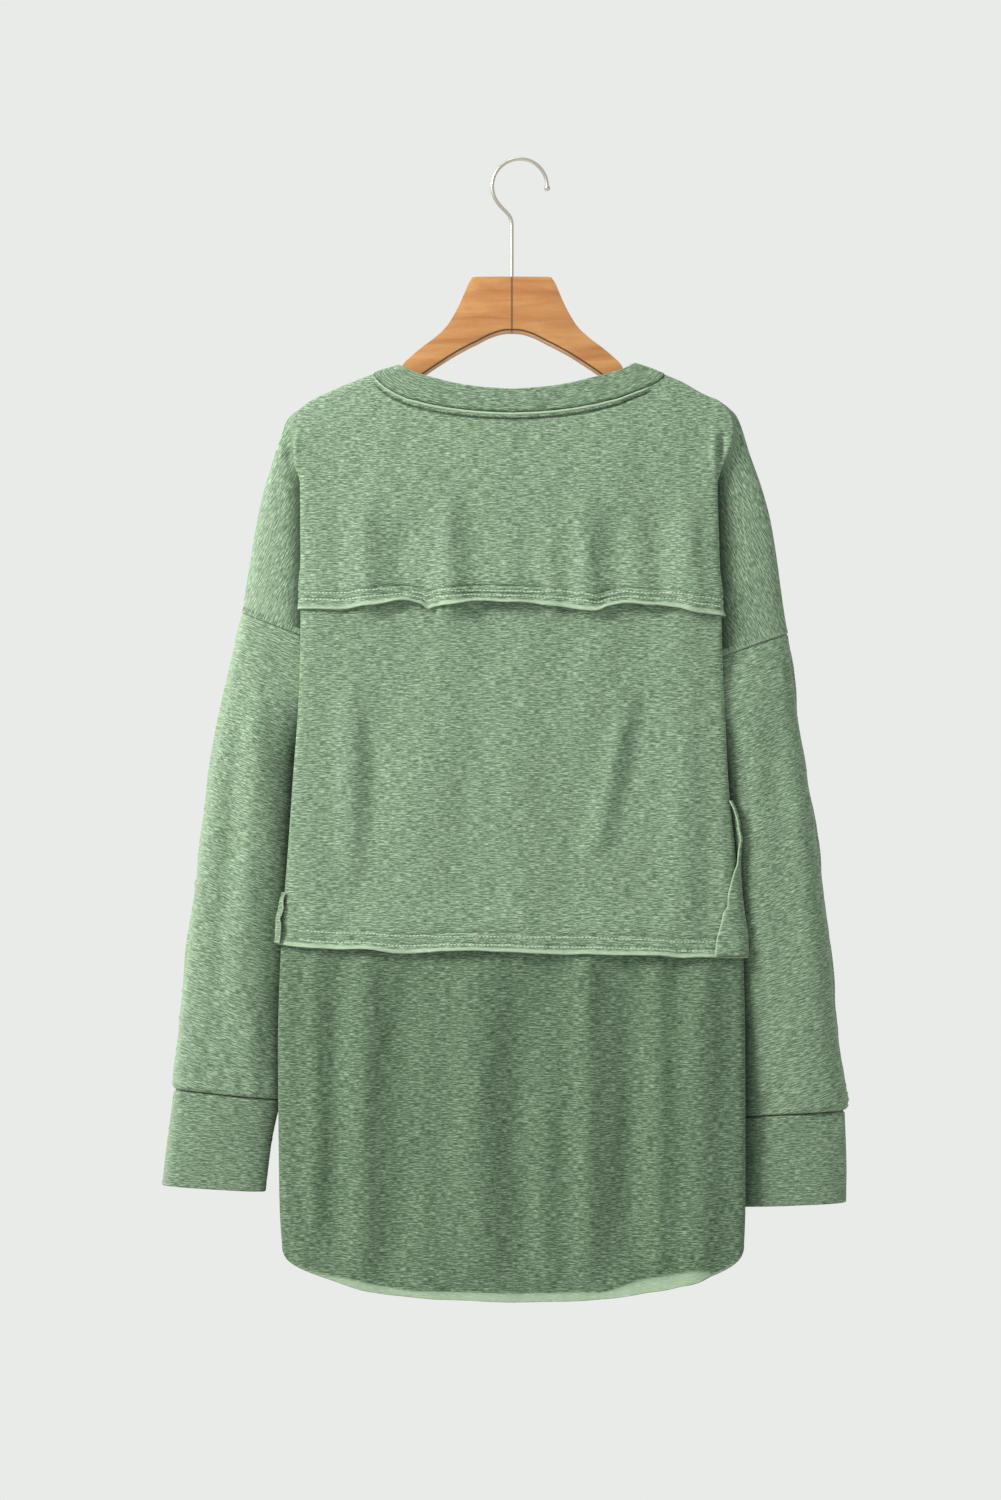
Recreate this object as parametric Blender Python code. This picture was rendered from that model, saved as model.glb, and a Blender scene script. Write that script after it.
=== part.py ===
"""A long-sleeve top with raw-edged back tiers, hung on a wooden clothes hanger.

The garment hangs with its back towards -Y, so +X is the wearer's right and +Y the
wearer's front. The origin is the underside of the top of the hook, where a rail bears.
All shapes are worked out about the hanger's centre line, then moved HOOK_REACH sideways,
because the hook's arc stands that far off the hanger's stem. Units are metres.
"""

import math
from typing import NamedTuple

import bmesh
import bpy
from mathutils import Vector

NAME = "long_sleeve_top"

HOOK_REACH = 0.0065
CLOTH = 0.0015
CUFF_CLOTH = 0.0020
BAND_CLOTH = 0.0022
PLEAT_THINNING = 0.33
PLEAT_PLACES = (4.0, 6.0, 7.5, 9.0)
PLEAT_ROWS = (0.13, 0.19, 0.32, 0.42)
SEAM_GAP = 0.0004
HALF_GAP = 0.0002
WELD = 0.00002

TIER_LIFT = 0.0020
TIER_LIFT_FROM = 2.0
TIER_LIFT_ROWS = 0.085
YOKE_LIFT_FROM = 5.6
YOKE_LIFT_ROWS = 0.20
LIFT_FADE = 1.5
FULL_LIFT = 0.38
RIM_SHARE = 0.28
TIER_LAP = 0.012
BUTT_ROWS = 0.003
LAP_FROM = 6.9
LAP_FADE = 1.1

FOLD_RISE = 0.45
FOLD_FALL = 0.12
FOLD_DIP = 0.30
FOLD_DIP_WIDTH = 6
FOLD_SIDES = (0.85, 1.0)
CROWN_POWER = 2.4

TIP_X = 0.172
TIP_Z = -0.205
CREST_RADIUS = 0.009
ARM_Z = -0.405

NECK_HALF = 0.1144
NECK_BACK_Z = -0.210
NECK_FRONT_Z = -0.288
NECK_POWER = {False: 1.2, True: 2.0}
BAND_HALF = 0.0930
BAND_BACK_Z = -0.1897
BAND_FRONT_Z = -0.268
BAND_POWER = 1.8
BAND_PROUD = 0.0012
BAND_SHARES = (0.0, 0.34, 0.67, 1.0)

ALLOWANCE_CLOTH = 0.0013
ALLOWANCE_LIFT = 0.0028
ALLOWANCE_CURL = 0.0008
ALLOWANCE_SHORT = 0.0006
ALLOWANCE_END = 0.985
ALLOWANCE_PLACE = 7.4
ALLOWANCE_ACROSS = (0.0, 0.3, 0.6, 0.85, 1.0)
ALLOWANCE_STEPS = (0.0, 0.12, 0.26, 0.38, 0.48, 0.58, 0.68, 0.78, 0.90, 1.0)

SEAM_CLOSING = (0.75, 1.0)
SEAM_INWARD = (0.3, 1.0)
SEAM_VALLEY = 0.0092
SEAM_LEVEL = 0.35
UNDERARM_FADE = 0.018
TURN_INSET = 0.45
TURN_DEEP = 0.93
TURN_FADE = 0.15

HANGER_HALF = 0.0048
HANGER_BEVEL = 0.0024
WOOD_TOP_Z = -0.0965
WIRE = 0.0030
HOOK_RADIUS = 0.0227
HOOK_START_DEG = -2.0
HOOK_END_DEG = 212.0
HOOK_ARC_STEPS = 26
HOOK_BEND = 0.45
STEM_JOIN_Z = -0.0540
STEM_STEPS = 8
BALL_STEP = 0.0006
BALL_SWELL = (0.75, 1.45, 1.7, 1.55, 1.1, 1.0)

LEFT = -1
RIGHT = 1


class Crest(NamedTuple):
    """A point on the shoulder line, from the hanger's middle out to its tip."""

    across: float
    z: float


CREST = (
    Crest(0.0000, -0.1600),
    Crest(0.0800, -0.1650),
    Crest(0.0925, -0.1692),
    Crest(0.1144, -0.1793),
    Crest(0.1406, -0.1905),
    Crest(0.1636, -0.2004),
    Crest(0.1720, -0.2050),
)


class Side(NamedTuple):
    """Half widths at a height: the body's folded side, the sleeve top and the side's tuck."""

    z: float
    ridge_left: float
    ridge_right: float
    outer_left: float
    outer_right: float
    inset: float
    valley: float


SIDES = (
    Side(-0.205, 0.1720, 0.1720, 0.1720, 0.1720, 0.0000, 0.010),
    Side(-0.214, 0.1742, 0.1735, 0.1825, 0.1785, 0.0000, 0.010),
    Side(-0.225, 0.1760, 0.1740, 0.1868, 0.1850, 0.0000, 0.010),
    Side(-0.235, 0.1765, 0.1730, 0.1905, 0.1885, 0.0010, 0.010),
    Side(-0.243, 0.1757, 0.1708, 0.1936, 0.1916, 0.0020, 0.010),
    Side(-0.254, 0.1746, 0.1690, 0.1973, 0.1952, 0.0050, 0.010),
    Side(-0.270, 0.1740, 0.1688, 0.2030, 0.2003, 0.0105, 0.010),
    Side(-0.300, 0.1737, 0.1695, 0.2098, 0.2078, 0.0195, 0.010),
    Side(-0.375, 0.1734, 0.1718, 0.2228, 0.2236, 0.0380, 0.010),
    Side(-0.410, 0.1738, 0.1726, 0.2295, 0.2305, 0.0445, 0.010),
    Side(-0.450, 0.1760, 0.1745, 0.2380, 0.2340, 0.0360, 0.012),
    Side(-0.508, 0.1793, 0.1770, 0.2500, 0.2425, 0.0240, 0.010),
    Side(-0.570, 0.1824, 0.1830, 0.2580, 0.2513, 0.0180, 0.008),
    Side(-0.650, 0.1876, 0.1895, 0.2690, 0.2612, 0.0140, 0.007),
    Side(-0.730, 0.1910, 0.1912, 0.2760, 0.2702, 0.0120, 0.0065),
    Side(-0.860, 0.1910, 0.1915, 0.2887, 0.2759, 0.0080, 0.006),
    Side(-0.900, 0.1880, 0.1900, 0.2887, 0.2759, 0.0060, 0.006),
    Side(-0.940, 0.1840, 0.1860, 0.2887, 0.2759, 0.0060, 0.006),
)


class Depth(NamedTuple):
    """Distances from the middle plane at a drop below the shoulder line."""

    drop: float
    centre: float
    ridge: float
    behind: float
    sleeve: float


DEPTHS = (
    Depth(0.009, 0.0090, 0.0090, 0.0080, 0.0076),
    Depth(0.022, 0.0118, 0.0122, 0.0096, 0.0086),
    Depth(0.036, 0.0138, 0.0148, 0.0105, 0.0086),
    Depth(0.060, 0.0165, 0.0175, 0.0112, 0.0088),
    Depth(0.120, 0.0215, 0.0220, 0.0145, 0.0115),
    Depth(0.200, 0.0250, 0.0250, 0.0175, 0.0145),
    Depth(0.350, 0.0275, 0.0250, 0.0155, 0.0145),
    Depth(0.450, 0.0280, 0.0240, 0.0145, 0.0145),
    Depth(0.750, 0.0260, 0.0200, 0.0115, 0.0145),
)


class Armhole(NamedTuple):
    """Heights of the outer and the underarm end of a sleeve seam."""

    outer_z: float
    inner_z: float


ARMHOLES = {LEFT: Armhole(-0.3740, -0.4100), RIGHT: Armhole(-0.3906, -0.4250)}


class SleeveFace(NamedTuple):
    """A place across a flattened sleeve, and how deep the cloth stands there."""

    across: float
    deep: float


SLEEVE_FACES = (
    SleeveFace(0.00, 0.35),
    SleeveFace(0.10, 0.80),
    SleeveFace(0.35, 1.03),
    SleeveFace(0.75, 0.98),
    SleeveFace(1.00, 0.35),
)


class SleeveRing(NamedTuple):
    """Outer and inner point of a section through a sleeve or cuff, and its half depth."""

    outer_x: float
    outer_z: float
    inner_x: float
    inner_z: float
    deep: float


SLEEVES = {
    LEFT: (
        SleeveRing(0.2290, -0.4050, 0.1480, -0.4380, 0.0175),
        SleeveRing(0.2374, -0.4464, 0.1680, -0.4750, 0.0205),
        SleeveRing(0.2472, -0.4870, 0.1830, -0.5120, 0.0225),
        SleeveRing(0.2579, -0.5700, 0.1870, -0.5850, 0.0240),
        SleeveRing(0.2681, -0.6430, 0.1850, -0.6550, 0.0225),
        SleeveRing(0.2727, -0.6920, 0.1850, -0.7020, 0.0190),
        SleeveRing(0.2790, -0.7520, 0.1910, -0.7620, 0.0145),
        SleeveRing(0.2796, -0.7670, 0.1923, -0.7760, 0.0120),
    ),
    RIGHT: (
        SleeveRing(0.2310, -0.4250, 0.1500, -0.4550, 0.0175),
        SleeveRing(0.2360, -0.4620, 0.1680, -0.4870, 0.0205),
        SleeveRing(0.2425, -0.5080, 0.1820, -0.5280, 0.0225),
        SleeveRing(0.2513, -0.5690, 0.1855, -0.5850, 0.0240),
        SleeveRing(0.2612, -0.6514, 0.1870, -0.6630, 0.0225),
        SleeveRing(0.2702, -0.7334, 0.1900, -0.7420, 0.0185),
        SleeveRing(0.2759, -0.7744, 0.1920, -0.7830, 0.0140),
        SleeveRing(0.2749, -0.7845, 0.1925, -0.7900, 0.0120),
    ),
}

CUFFS = {
    LEFT: (
        SleeveRing(0.2792, -0.7680, 0.1928, -0.7770, 0.0115),
        SleeveRing(0.2842, -0.8060, 0.1988, -0.8140, 0.0105),
        SleeveRing(0.2887, -0.8450, 0.2038, -0.8515, 0.0090),
    ),
    RIGHT: (
        SleeveRing(0.2742, -0.7855, 0.1930, -0.7910, 0.0115),
        SleeveRing(0.2758, -0.8230, 0.1930, -0.8280, 0.0105),
        SleeveRing(0.2759, -0.8613, 0.1930, -0.8650, 0.0090),
    ),
}


class Hem(NamedTuple):
    """Height of the lowest hem at a place across the body, -1 to 1."""

    across: float
    back_z: float
    front_z: float


HEM = (
    Hem(-1.00, -0.8985, -0.8720),
    Hem(-0.90, -0.9105, -0.8745),
    Hem(-0.75, -0.9205, -0.8770),
    Hem(-0.60, -0.9300, -0.8790),
    Hem(-0.30, -0.9360, -0.8800),
    Hem(0.08, -0.9376, -0.8800),
    Hem(0.40, -0.9360, -0.8800),
    Hem(0.60, -0.9290, -0.8780),
    Hem(0.81, -0.9204, -0.8760),
    Hem(0.96, -0.9072, -0.8730),
    Hem(1.00, -0.8960, -0.8720),
)
SIDE_HEM_Z = (-0.8680, -0.8760, -0.8850)
FRONT_SIDE_HEM_Z = (-0.8680, -0.8695, -0.8710)


class Edge(NamedTuple):
    """A point on a tier's raw edge: its height, and how far it curls off the cloth below."""

    x: float
    z: float
    curl: float


YOKE_EDGE = (
    Edge(-0.1730, -0.3719, 0.0000),
    Edge(-0.1406, -0.3724, 0.0003),
    Edge(-0.1196, -0.3695, 0.0015),
    Edge(-0.0869, -0.3653, 0.0030),
    Edge(-0.0673, -0.3711, 0.0004),
    Edge(-0.0346, -0.3652, 0.0022),
    Edge(0.0070, -0.3659, 0.0020),
    Edge(0.0283, -0.3680, 0.0012),
    Edge(0.0646, -0.3728, 0.0004),
    Edge(0.0800, -0.3690, 0.0024),
    Edge(0.1160, -0.3692, 0.0022),
    Edge(0.1537, -0.3749, 0.0006),
    Edge(0.1730, -0.3774, 0.0000),
)

MIDDLE_EDGE = (
    Edge(-0.1880, -0.6470, 0.0000),
    Edge(-0.1560, -0.6490, 0.0010),
    Edge(-0.1180, -0.6500, 0.0018),
    Edge(-0.0900, -0.6535, 0.0004),
    Edge(-0.0550, -0.6505, 0.0020),
    Edge(0.0000, -0.6515, 0.0014),
    Edge(0.0560, -0.6540, 0.0004),
    Edge(0.1000, -0.6535, 0.0018),
    Edge(0.1450, -0.6565, 0.0010),
    Edge(0.1900, -0.6570, 0.0000),
)


class SeamEdge(NamedTuple):
    """A point on the raw edge of a side's seam allowance."""

    z: float
    x: float


SEAM_EDGES = {
    LEFT: (SeamEdge(-0.604, 0.1842), SeamEdge(-0.625, 0.1846), SeamEdge(-0.645, 0.1850)),
    RIGHT: (
        SeamEdge(-0.5300, 0.1800),
        SeamEdge(-0.5620, 0.1830),
        SeamEdge(-0.5806, 0.1830),
        SeamEdge(-0.5875, 0.1819),
        SeamEdge(-0.5995, 0.1779),
        SeamEdge(-0.6154, 0.1757),
        SeamEdge(-0.6293, 0.1705),
        SeamEdge(-0.6412, 0.1670),
        SeamEdge(-0.6571, 0.1650),
    ),
}

FRONT_EDGE = (
    Edge(-0.1880, -0.6470, 0.0000),
    Edge(-0.1100, -0.6505, 0.0014),
    Edge(-0.0400, -0.6490, 0.0006),
    Edge(0.0500, -0.6525, 0.0016),
    Edge(0.1300, -0.6530, 0.0006),
    Edge(0.1900, -0.6570, 0.0000),
)


class Fold(NamedTuple):
    """A soft fold: where it starts and ends, its half width, and how far it stands out."""

    top_x: float
    top_z: float
    low_x: float
    low_z: float
    half_width: float
    height: float


BACK_FOLDS = (
    Fold(-0.130, -0.270, -0.127, -0.385, 0.020, 0.0030),
    Fold(-0.066, -0.290, -0.064, -0.385, 0.024, 0.0034),
    Fold(0.046, -0.270, 0.054, -0.385, 0.022, 0.0032),
    Fold(0.138, -0.260, 0.137, -0.385, 0.018, 0.0024),
    Fold(-0.124, -0.430, -0.140, -0.620, 0.028, 0.0034),
    Fold(-0.020, -0.440, -0.030, -0.640, 0.034, 0.0020),
    Fold(0.104, -0.410, 0.066, -0.610, 0.026, 0.0040),
    Fold(-0.127, -0.640, -0.132, -0.925, 0.018, 0.0040),
    Fold(-0.050, -0.640, -0.052, -0.930, 0.022, 0.0038),
    Fold(0.034, -0.650, 0.036, -0.930, 0.020, 0.0034),
    Fold(0.114, -0.640, 0.112, -0.925, 0.018, 0.0036),
)

FRONT_FOLDS = (
    Fold(-0.110, -0.300, -0.128, -0.600, 0.026, 0.0034),
    Fold(-0.030, -0.330, -0.046, -0.640, 0.030, 0.0030),
    Fold(0.058, -0.310, 0.070, -0.620, 0.028, 0.0036),
    Fold(-0.080, -0.640, -0.086, -0.870, 0.022, 0.0036),
    Fold(0.020, -0.650, 0.018, -0.870, 0.024, 0.0032),
    Fold(0.108, -0.640, 0.112, -0.870, 0.020, 0.0036),
)


class Track:
    """A smooth run of values through a table's rows, which never overshoots them."""

    def __init__(self, keys, values):
        self.keys = tuple(keys)
        self.values = tuple(values)
        spans = [b - a for a, b in zip(self.keys, self.keys[1:])]
        rises = [b - a for a, b in zip(self.values, self.values[1:])]
        slopes = [rise / span for rise, span in zip(rises, spans)]
        inner = [
            0.0 if before * after <= 0.0 else 2.0 * before * after / (before + after)
            for before, after in zip(slopes, slopes[1:])
        ]
        self.slopes = (slopes[0], *inner, slopes[-1])

    def __call__(self, at):
        if at <= self.keys[0]:
            return self.values[0]
        if at >= self.keys[-1]:
            return self.values[-1]
        place = next(i for i, key in enumerate(self.keys) if key > at) - 1
        span = self.keys[place + 1] - self.keys[place]
        t = (at - self.keys[place]) / span
        rise_in = self.slopes[place] * span
        rise_out = self.slopes[place + 1] * span
        start = self.values[place]
        end = self.values[place + 1]
        return (
            start * (1 + 2 * t) * (1 - t) ** 2
            + rise_in * t * (1 - t) ** 2
            + end * t * t * (3 - 2 * t)
            + rise_out * t * t * (t - 1)
        )


def track_of(rows, key, value):
    """The track of one named column of a table against another."""
    ordered = sorted(rows, key=lambda row: getattr(row, key))
    return Track([getattr(row, key) for row in ordered], [getattr(row, value) for row in ordered])


CREST_Z = track_of(CREST, "across", "z")
RIDGE_X = {LEFT: track_of(SIDES, "z", "ridge_left"), RIGHT: track_of(SIDES, "z", "ridge_right")}
OUTER_X = {LEFT: track_of(SIDES, "z", "outer_left"), RIGHT: track_of(SIDES, "z", "outer_right")}
INSET = track_of(SIDES, "z", "inset")
VALLEY = track_of(SIDES, "z", "valley")
DEPTH_AT = {name: track_of(DEPTHS, "drop", name) for name in ("centre", "ridge", "behind", "sleeve")}
HEM_Z = {False: track_of(HEM, "across", "back_z"), True: track_of(HEM, "across", "front_z")}


def lerp(start, end, t):
    """The value a fraction of the way from one to another."""
    return start + (end - start) * t


def ease(t):
    """A fraction that starts and ends gently."""
    t = min(max(t, 0.0), 1.0)
    return t * t * (3 - 2 * t)


def between(at, span):
    """How far a value has come through a span, starting and ending gently."""
    return ease((at - span[0]) / (span[1] - span[0]))


def deep_at(name, drop):
    """How far the cloth stands off the middle plane, round the shoulder line and below it."""
    if drop <= 0.0:
        return 0.0
    if drop < CREST_RADIUS:
        return DEPTH_AT[name](CREST_RADIUS) * math.sqrt(1 - (1 - drop / CREST_RADIUS) ** 2)
    return DEPTH_AT[name](drop)


# The net of points that carries the body's cloth. Places 0 to 8 run from the outer line of
# the left sleeve over the tucked side to the ridge, 9 to 27 cross the body in tenths of its
# half width, and 28 to 36 mirror the first nine on the right.
SIDE_PLACES = 9
MIDDLE_PLACE = 18
LAST_PLACE = 36
TENTHS = 10
SLEEVE_PLACES = 4
VALLEY_PLACE = 5
TURNED_PLACE = 6
BEHIND_PLACE = 7
RIDGE_PLACE = 8
SIDE_SEAM = 4.5
CREST_REACH = 0.3
PLACE_REACH = 0.05
ROW_REACH = 0.01
RIDGE_ROUNDING = 0.0007
OUTER_ROUNDING = 0.0004
CAP_WIDTH = 0.0086
CAP_SPREAD = 0.0170
CAP_ROWS = (0.08, 0.34)


def cap_turn(place):
    """How far round the shoulder's rounded end a place at a side lies, in radians."""
    return 0.5 * math.pi * (place + 0.5) / (RIDGE_PLACE + 0.5)


def side_heights(place, side, front):
    """Top, armhole and hem height of one of the nine places at a side."""
    armhole = ARMHOLES[side]
    top = CREST_Z(TIP_X - CAP_WIDTH * (1 - math.cos(cap_turn(place))))
    hems = FRONT_SIDE_HEM_Z if front else SIDE_HEM_Z
    if place <= SLEEVE_PLACES:
        across = SLEEVE_FACES[place].across
        return top, lerp(armhole.outer_z, armhole.inner_z, across), hems[0]
    ridge_hem = HEM_Z[front](float(side))
    return {
        VALLEY_PLACE: (top, armhole.inner_z, hems[0]),
        TURNED_PLACE: (top, lerp(armhole.inner_z, ARM_Z, 0.5), hems[1]),
        BEHIND_PLACE: (top, ARM_Z, hems[2]),
        RIDGE_PLACE: (top, ARM_Z, ridge_hem),
    }[place]


def heights(place, front):
    """Top, armhole and hem height of any whole place across the body."""
    if place < SIDE_PLACES:
        return side_heights(place, LEFT, front)
    if place > LAST_PLACE - SIDE_PLACES:
        return side_heights(LAST_PLACE - place, RIGHT, front)
    share = (place - MIDDLE_PLACE) / TENTHS
    return CREST_Z(abs(share) * TIP_X), ARM_Z, HEM_Z[front](share)


def height_of(levels, row):
    """The height at a row: 0 is the top, 1 the armhole's level and 2 the hem."""
    top, arm, hem = levels
    return lerp(top, arm, row) if row <= 1.0 else lerp(arm, hem, row - 1.0)


def side_point(place, side, row, front):
    """One of the nine places at a side, as half width, depth and height."""
    levels = side_heights(place, side, front)
    z = height_of(levels, row)
    drop = levels[0] - z
    hanging = between(row, CAP_ROWS)
    point = hanging_point(place, side, row, z, drop, levels[1])
    if hanging == 1.0:
        return point
    turn = cap_turn(place)
    width = lerp(CAP_WIDTH, CAP_SPREAD, ease(row / CAP_ROWS[1]))
    outer_x = OUTER_X[side](lerp(TIP_Z, ARMHOLES[side].outer_z, row))
    deep = lerp(deep_at("sleeve", drop), deep_at("ridge", drop), place / RIDGE_PLACE)
    cap = Vector((outer_x - width * (1 - math.cos(turn)), deep * math.sin(turn), z))
    return cap.lerp(point, hanging)


def hanging_point(place, side, row, z, drop, seam_z):
    """A place at a side below the shoulder's rounded end, where the sleeve hangs free."""
    if place <= SLEEVE_PLACES:
        face = SLEEVE_FACES[place]
        armhole = ARMHOLES[side]
        outer_z = lerp(TIP_Z, armhole.outer_z, min(row, 1.0))
        inner_z = lerp(TIP_Z, armhole.inner_z, min(row, 1.0))
        outer_x = OUTER_X[side](outer_z) + OUTER_ROUNDING
        inner_x = RIDGE_X[side](inner_z) + RIDGE_ROUNDING - INSET(inner_z)
        inward = between(face.across, SEAM_INWARD) * (1 - between(row, SEAM_CLOSING))
        deep = lerp(face.deep, 1.0, inward)
        return Vector((lerp(outer_x, inner_x, face.across), deep * deep_at("sleeve", drop), z))
    ridge_x = RIDGE_X[side](z) + RIDGE_ROUNDING
    if place == VALLEY_PLACE:
        free = lerp(deep_at("behind", drop), SEAM_VALLEY, between(row, SEAM_CLOSING))
        below = ease((seam_z - z) / UNDERARM_FADE)
        return Vector((ridge_x - INSET(z), lerp(free, VALLEY(z), below), z))
    if place == TURNED_PLACE:
        behind = deep_at("behind", drop) * lerp(1.0, TURN_DEEP, ease((ARM_Z - z) / TURN_FADE))
        return Vector((ridge_x - TURN_INSET * INSET(z), behind, z))
    name = "behind" if place == BEHIND_PLACE else "ridge"
    return Vector((ridge_x, deep_at(name, drop), z))


def net_point(place, row, front):
    """A point of the net, with mirrored ones past the outer lines and the side seams."""
    if place < 0:
        point = net_point(-1 - place, row, front)
        return Vector((point.x, -point.y, point.z))
    if place > LAST_PLACE:
        point = net_point(2 * LAST_PLACE + 1 - place, row, front)
        return Vector((point.x, -point.y, point.z))
    if place < SIDE_PLACES or place > LAST_PLACE - SIDE_PLACES:
        side = LEFT if place < SIDE_PLACES else RIGHT
        near = place if side == LEFT else LAST_PLACE - place
        across, deep, z = side_point(near, side, row, front)
        if row > 1.0 and near in (SLEEVE_PLACES - 1, SLEEVE_PLACES):
            twin = side_point(2 * SLEEVE_PLACES + 1 - near, side, row, front)
            seam_z = side_heights(VALLEY_PLACE, side, front)[1]
            mix = ease((seam_z - twin.z) / UNDERARM_FADE)
            across = lerp(across, twin.x, mix)
            deep = lerp(deep, -twin.y, mix)
            z = lerp(z, twin.z, mix)
        return Vector((side * across, deep, z))
    share = (place - MIDDLE_PLACE) / TENTHS
    levels = heights(place, front)
    z = height_of(levels, row)
    drop = levels[0] - z
    crown = 1 - abs(share) ** CROWN_POWER
    deep = lerp(deep_at("ridge", drop), deep_at("centre", drop), crown)
    side = LEFT if share < 0 else RIGHT
    return Vector((share * RIDGE_X[side](z), deep, z))


def cubic_weights(t):
    """The weights of a uniform cubic B-spline."""
    return (
        (1 - t) ** 3 / 6,
        (3 * t**3 - 6 * t * t + 4) / 6,
        (-3 * t**3 + 3 * t * t + 3 * t + 1) / 6,
        t**3 / 6,
    )


def body_point(place, row, front):
    """A point of the body's cloth, as X, distance from the middle plane and Z."""
    first = math.floor(place)
    weights = cubic_weights(place - first)
    return sum(
        (weight * net_point(first - 1 + i, row, front) for i, weight in enumerate(weights)),
        Vector((0, 0, 0)),
    )


def row_at(place, z, front):
    """The row at which a place across the body reaches a height."""
    first = math.floor(place)
    near = heights(max(first, 0), front)
    far = heights(min(first + 1, LAST_PLACE), front)
    top, arm, hem = (lerp(a, b, place - first) for a, b in zip(near, far))
    return (top - z) / (top - arm) if z >= arm else 1.0 + (arm - z) / (arm - hem)


def x_at(place, z):
    """How far across a place in the body lies at a height."""
    share = min(max((place - MIDDLE_PLACE) / TENTHS, -1.0), 1.0)
    return share * RIDGE_X[LEFT if share < 0 else RIGHT](z)


def neck_z(x, front):
    """Height of the neck seam over a place inside the neck."""
    low = NECK_FRONT_Z if front else NECK_BACK_Z
    round_share = max(1 - (x / NECK_HALF) ** 2, 0.0) ** (NECK_POWER[front] / 2)
    return lerp(CREST_Z(NECK_HALF), low, round_share)


def neck_row(place, front):
    """The row at which a panel starts: the shoulder line, or the neck seam inside the neck."""
    x = abs(place - MIDDLE_PLACE) / TENTHS * TIP_X
    if x >= NECK_HALF - 1e-6:
        return 0.0
    return row_at(place, neck_z(x, front), front)


def fold_height(x, z, folds):
    """How far the folds push the cloth out at a place."""
    total = 0.0
    for fold in folds:
        run = (fold.top_z - z) / (fold.top_z - fold.low_z)
        if 0.0 < run < 1.0:
            off = (x - lerp(fold.top_x, fold.low_x, run)) / fold.half_width
            rise = ease(run / FOLD_RISE) * ease((1 - run) / FOLD_FALL)
            dip = FOLD_DIP * math.exp(-off * off / FOLD_DIP_WIDTH)
            total += fold.height * rise * (math.exp(-off * off) - dip)
    return total


def facing(place, row, front):
    """The way the cloth faces at a place, before its folds."""
    if row <= 0.0:
        far = min(place + CREST_REACH, LAST_PLACE + 0.5)
        near = max(place - CREST_REACH, -0.5)
        along = body_point(far, row, front) - body_point(near, row, front)
        return along.cross(Vector((0, 1, 0))).normalized()
    reach = min(ROW_REACH, 0.5 * row)
    ahead = body_point(place + PLACE_REACH, row, front)
    along = ahead - body_point(place - PLACE_REACH, row, front)
    down = body_point(place, row + reach, front) - body_point(place, row - reach, front)
    return along.cross(down).normalized()


def wall_at(place, row):
    """The cloth's thickness: a little less where the side's pleat starts."""
    near = min(place, LAST_PLACE - place)
    tight = between(near, PLEAT_PLACES[:2]) * (1 - between(near, PLEAT_PLACES[2:]))
    start = between(row, PLEAT_ROWS[:2]) * (1 - between(row, PLEAT_ROWS[2:]))
    return CLOTH * (1 - PLEAT_THINNING * tight * start)


def wall_points(place, row, front, lift, wall=None):
    """The outer and inner point of the body's cloth, with its folds, moved out by the lift."""
    point = body_point(place, row, front)
    facing_out = facing(place, row, front)
    folds = FRONT_FOLDS if front else BACK_FOLDS
    inside = 1 - between(abs(place - MIDDLE_PLACE) / TENTHS, FOLD_SIDES)
    push = Vector((0, HALF_GAP + inside * fold_height(point.x, point.z, folds), 0))
    outer = point + push + facing_out * lift
    inner = outer - facing_out * (wall or wall_at(place, row))
    away = 1 if front else -1
    return tuple(Vector((p.x, away * p.y, p.z)) for p in (outer, inner))


def mirrored(places):
    """The places on the left, the middle one and the same ones mirrored on the right."""
    return (*places, MIDDLE_PLACE, *(LAST_PLACE - place for place in reversed(places)))


NECK_PLACE = MIDDLE_PLACE - TENTHS * NECK_HALF / TIP_X
SLEEVE_RUN = (-0.5, 0.0, 0.6, 1.3, 2.1, 2.9, 3.6, 4.1)
TUCK_RUN = (4.5, 5.0, 5.6, 6.3, 7.0, 7.5, 8.1)
BACK_RUN = (8.7, 9.4, 10.1, 10.7, NECK_PLACE, 11.5, 12.0, 12.8, 13.5, 14.2, 15.0, 16.0, 17.0)
FRONT_RUN = (8.7, 9.6, 10.5, NECK_PLACE, 11.5, 12.0, 12.8, 13.8, 14.8, 15.9, 17.0)
YOKE_PLACES = mirrored(SLEEVE_RUN + TUCK_RUN + BACK_RUN)
TIER_PLACES = mirrored(TUCK_RUN + BACK_RUN)
FRONT_PLACES = mirrored(SLEEVE_RUN + TUCK_RUN + FRONT_RUN)
FRONT_TIER_PLACES = mirrored(TUCK_RUN + FRONT_RUN)

TOP_STEPS = (
    *(0.0, 0.005, 0.016, 0.033, 0.060, 0.10, 0.14, 0.18, 0.22, 0.265, 0.32, 0.42, 0.57),
    *(0.74, 0.88, 1.0),
)
TIER_STEPS = (0.0, 0.05, 0.15, 0.28, 0.42, 0.56, 0.70, 0.83, 0.94, 1.0)
LOWER_STEPS = (0.0, 0.04, 0.14, 0.28, 0.43, 0.58, 0.72, 0.85, 0.95, 1.0)
FRONT_LOW_STEPS = (0.04, 0.16, 0.34, 0.54, 0.75, 0.93, 1.0)
FRONT_HEM_STEPS = (0.0, 0.08, 0.30, 0.60, 0.90, 1.0)


def tier_edge(edges, place, front, off=0.0):
    """The row of a tier's raw edge at a place, raised by an offset."""
    share = min(max(place, RIDGE_PLACE), LAST_PLACE - RIDGE_PLACE)
    z = track_of(edges, "x", "z")(x_at(share, edges[0].z))
    return row_at(place, z + off, front)


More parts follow.
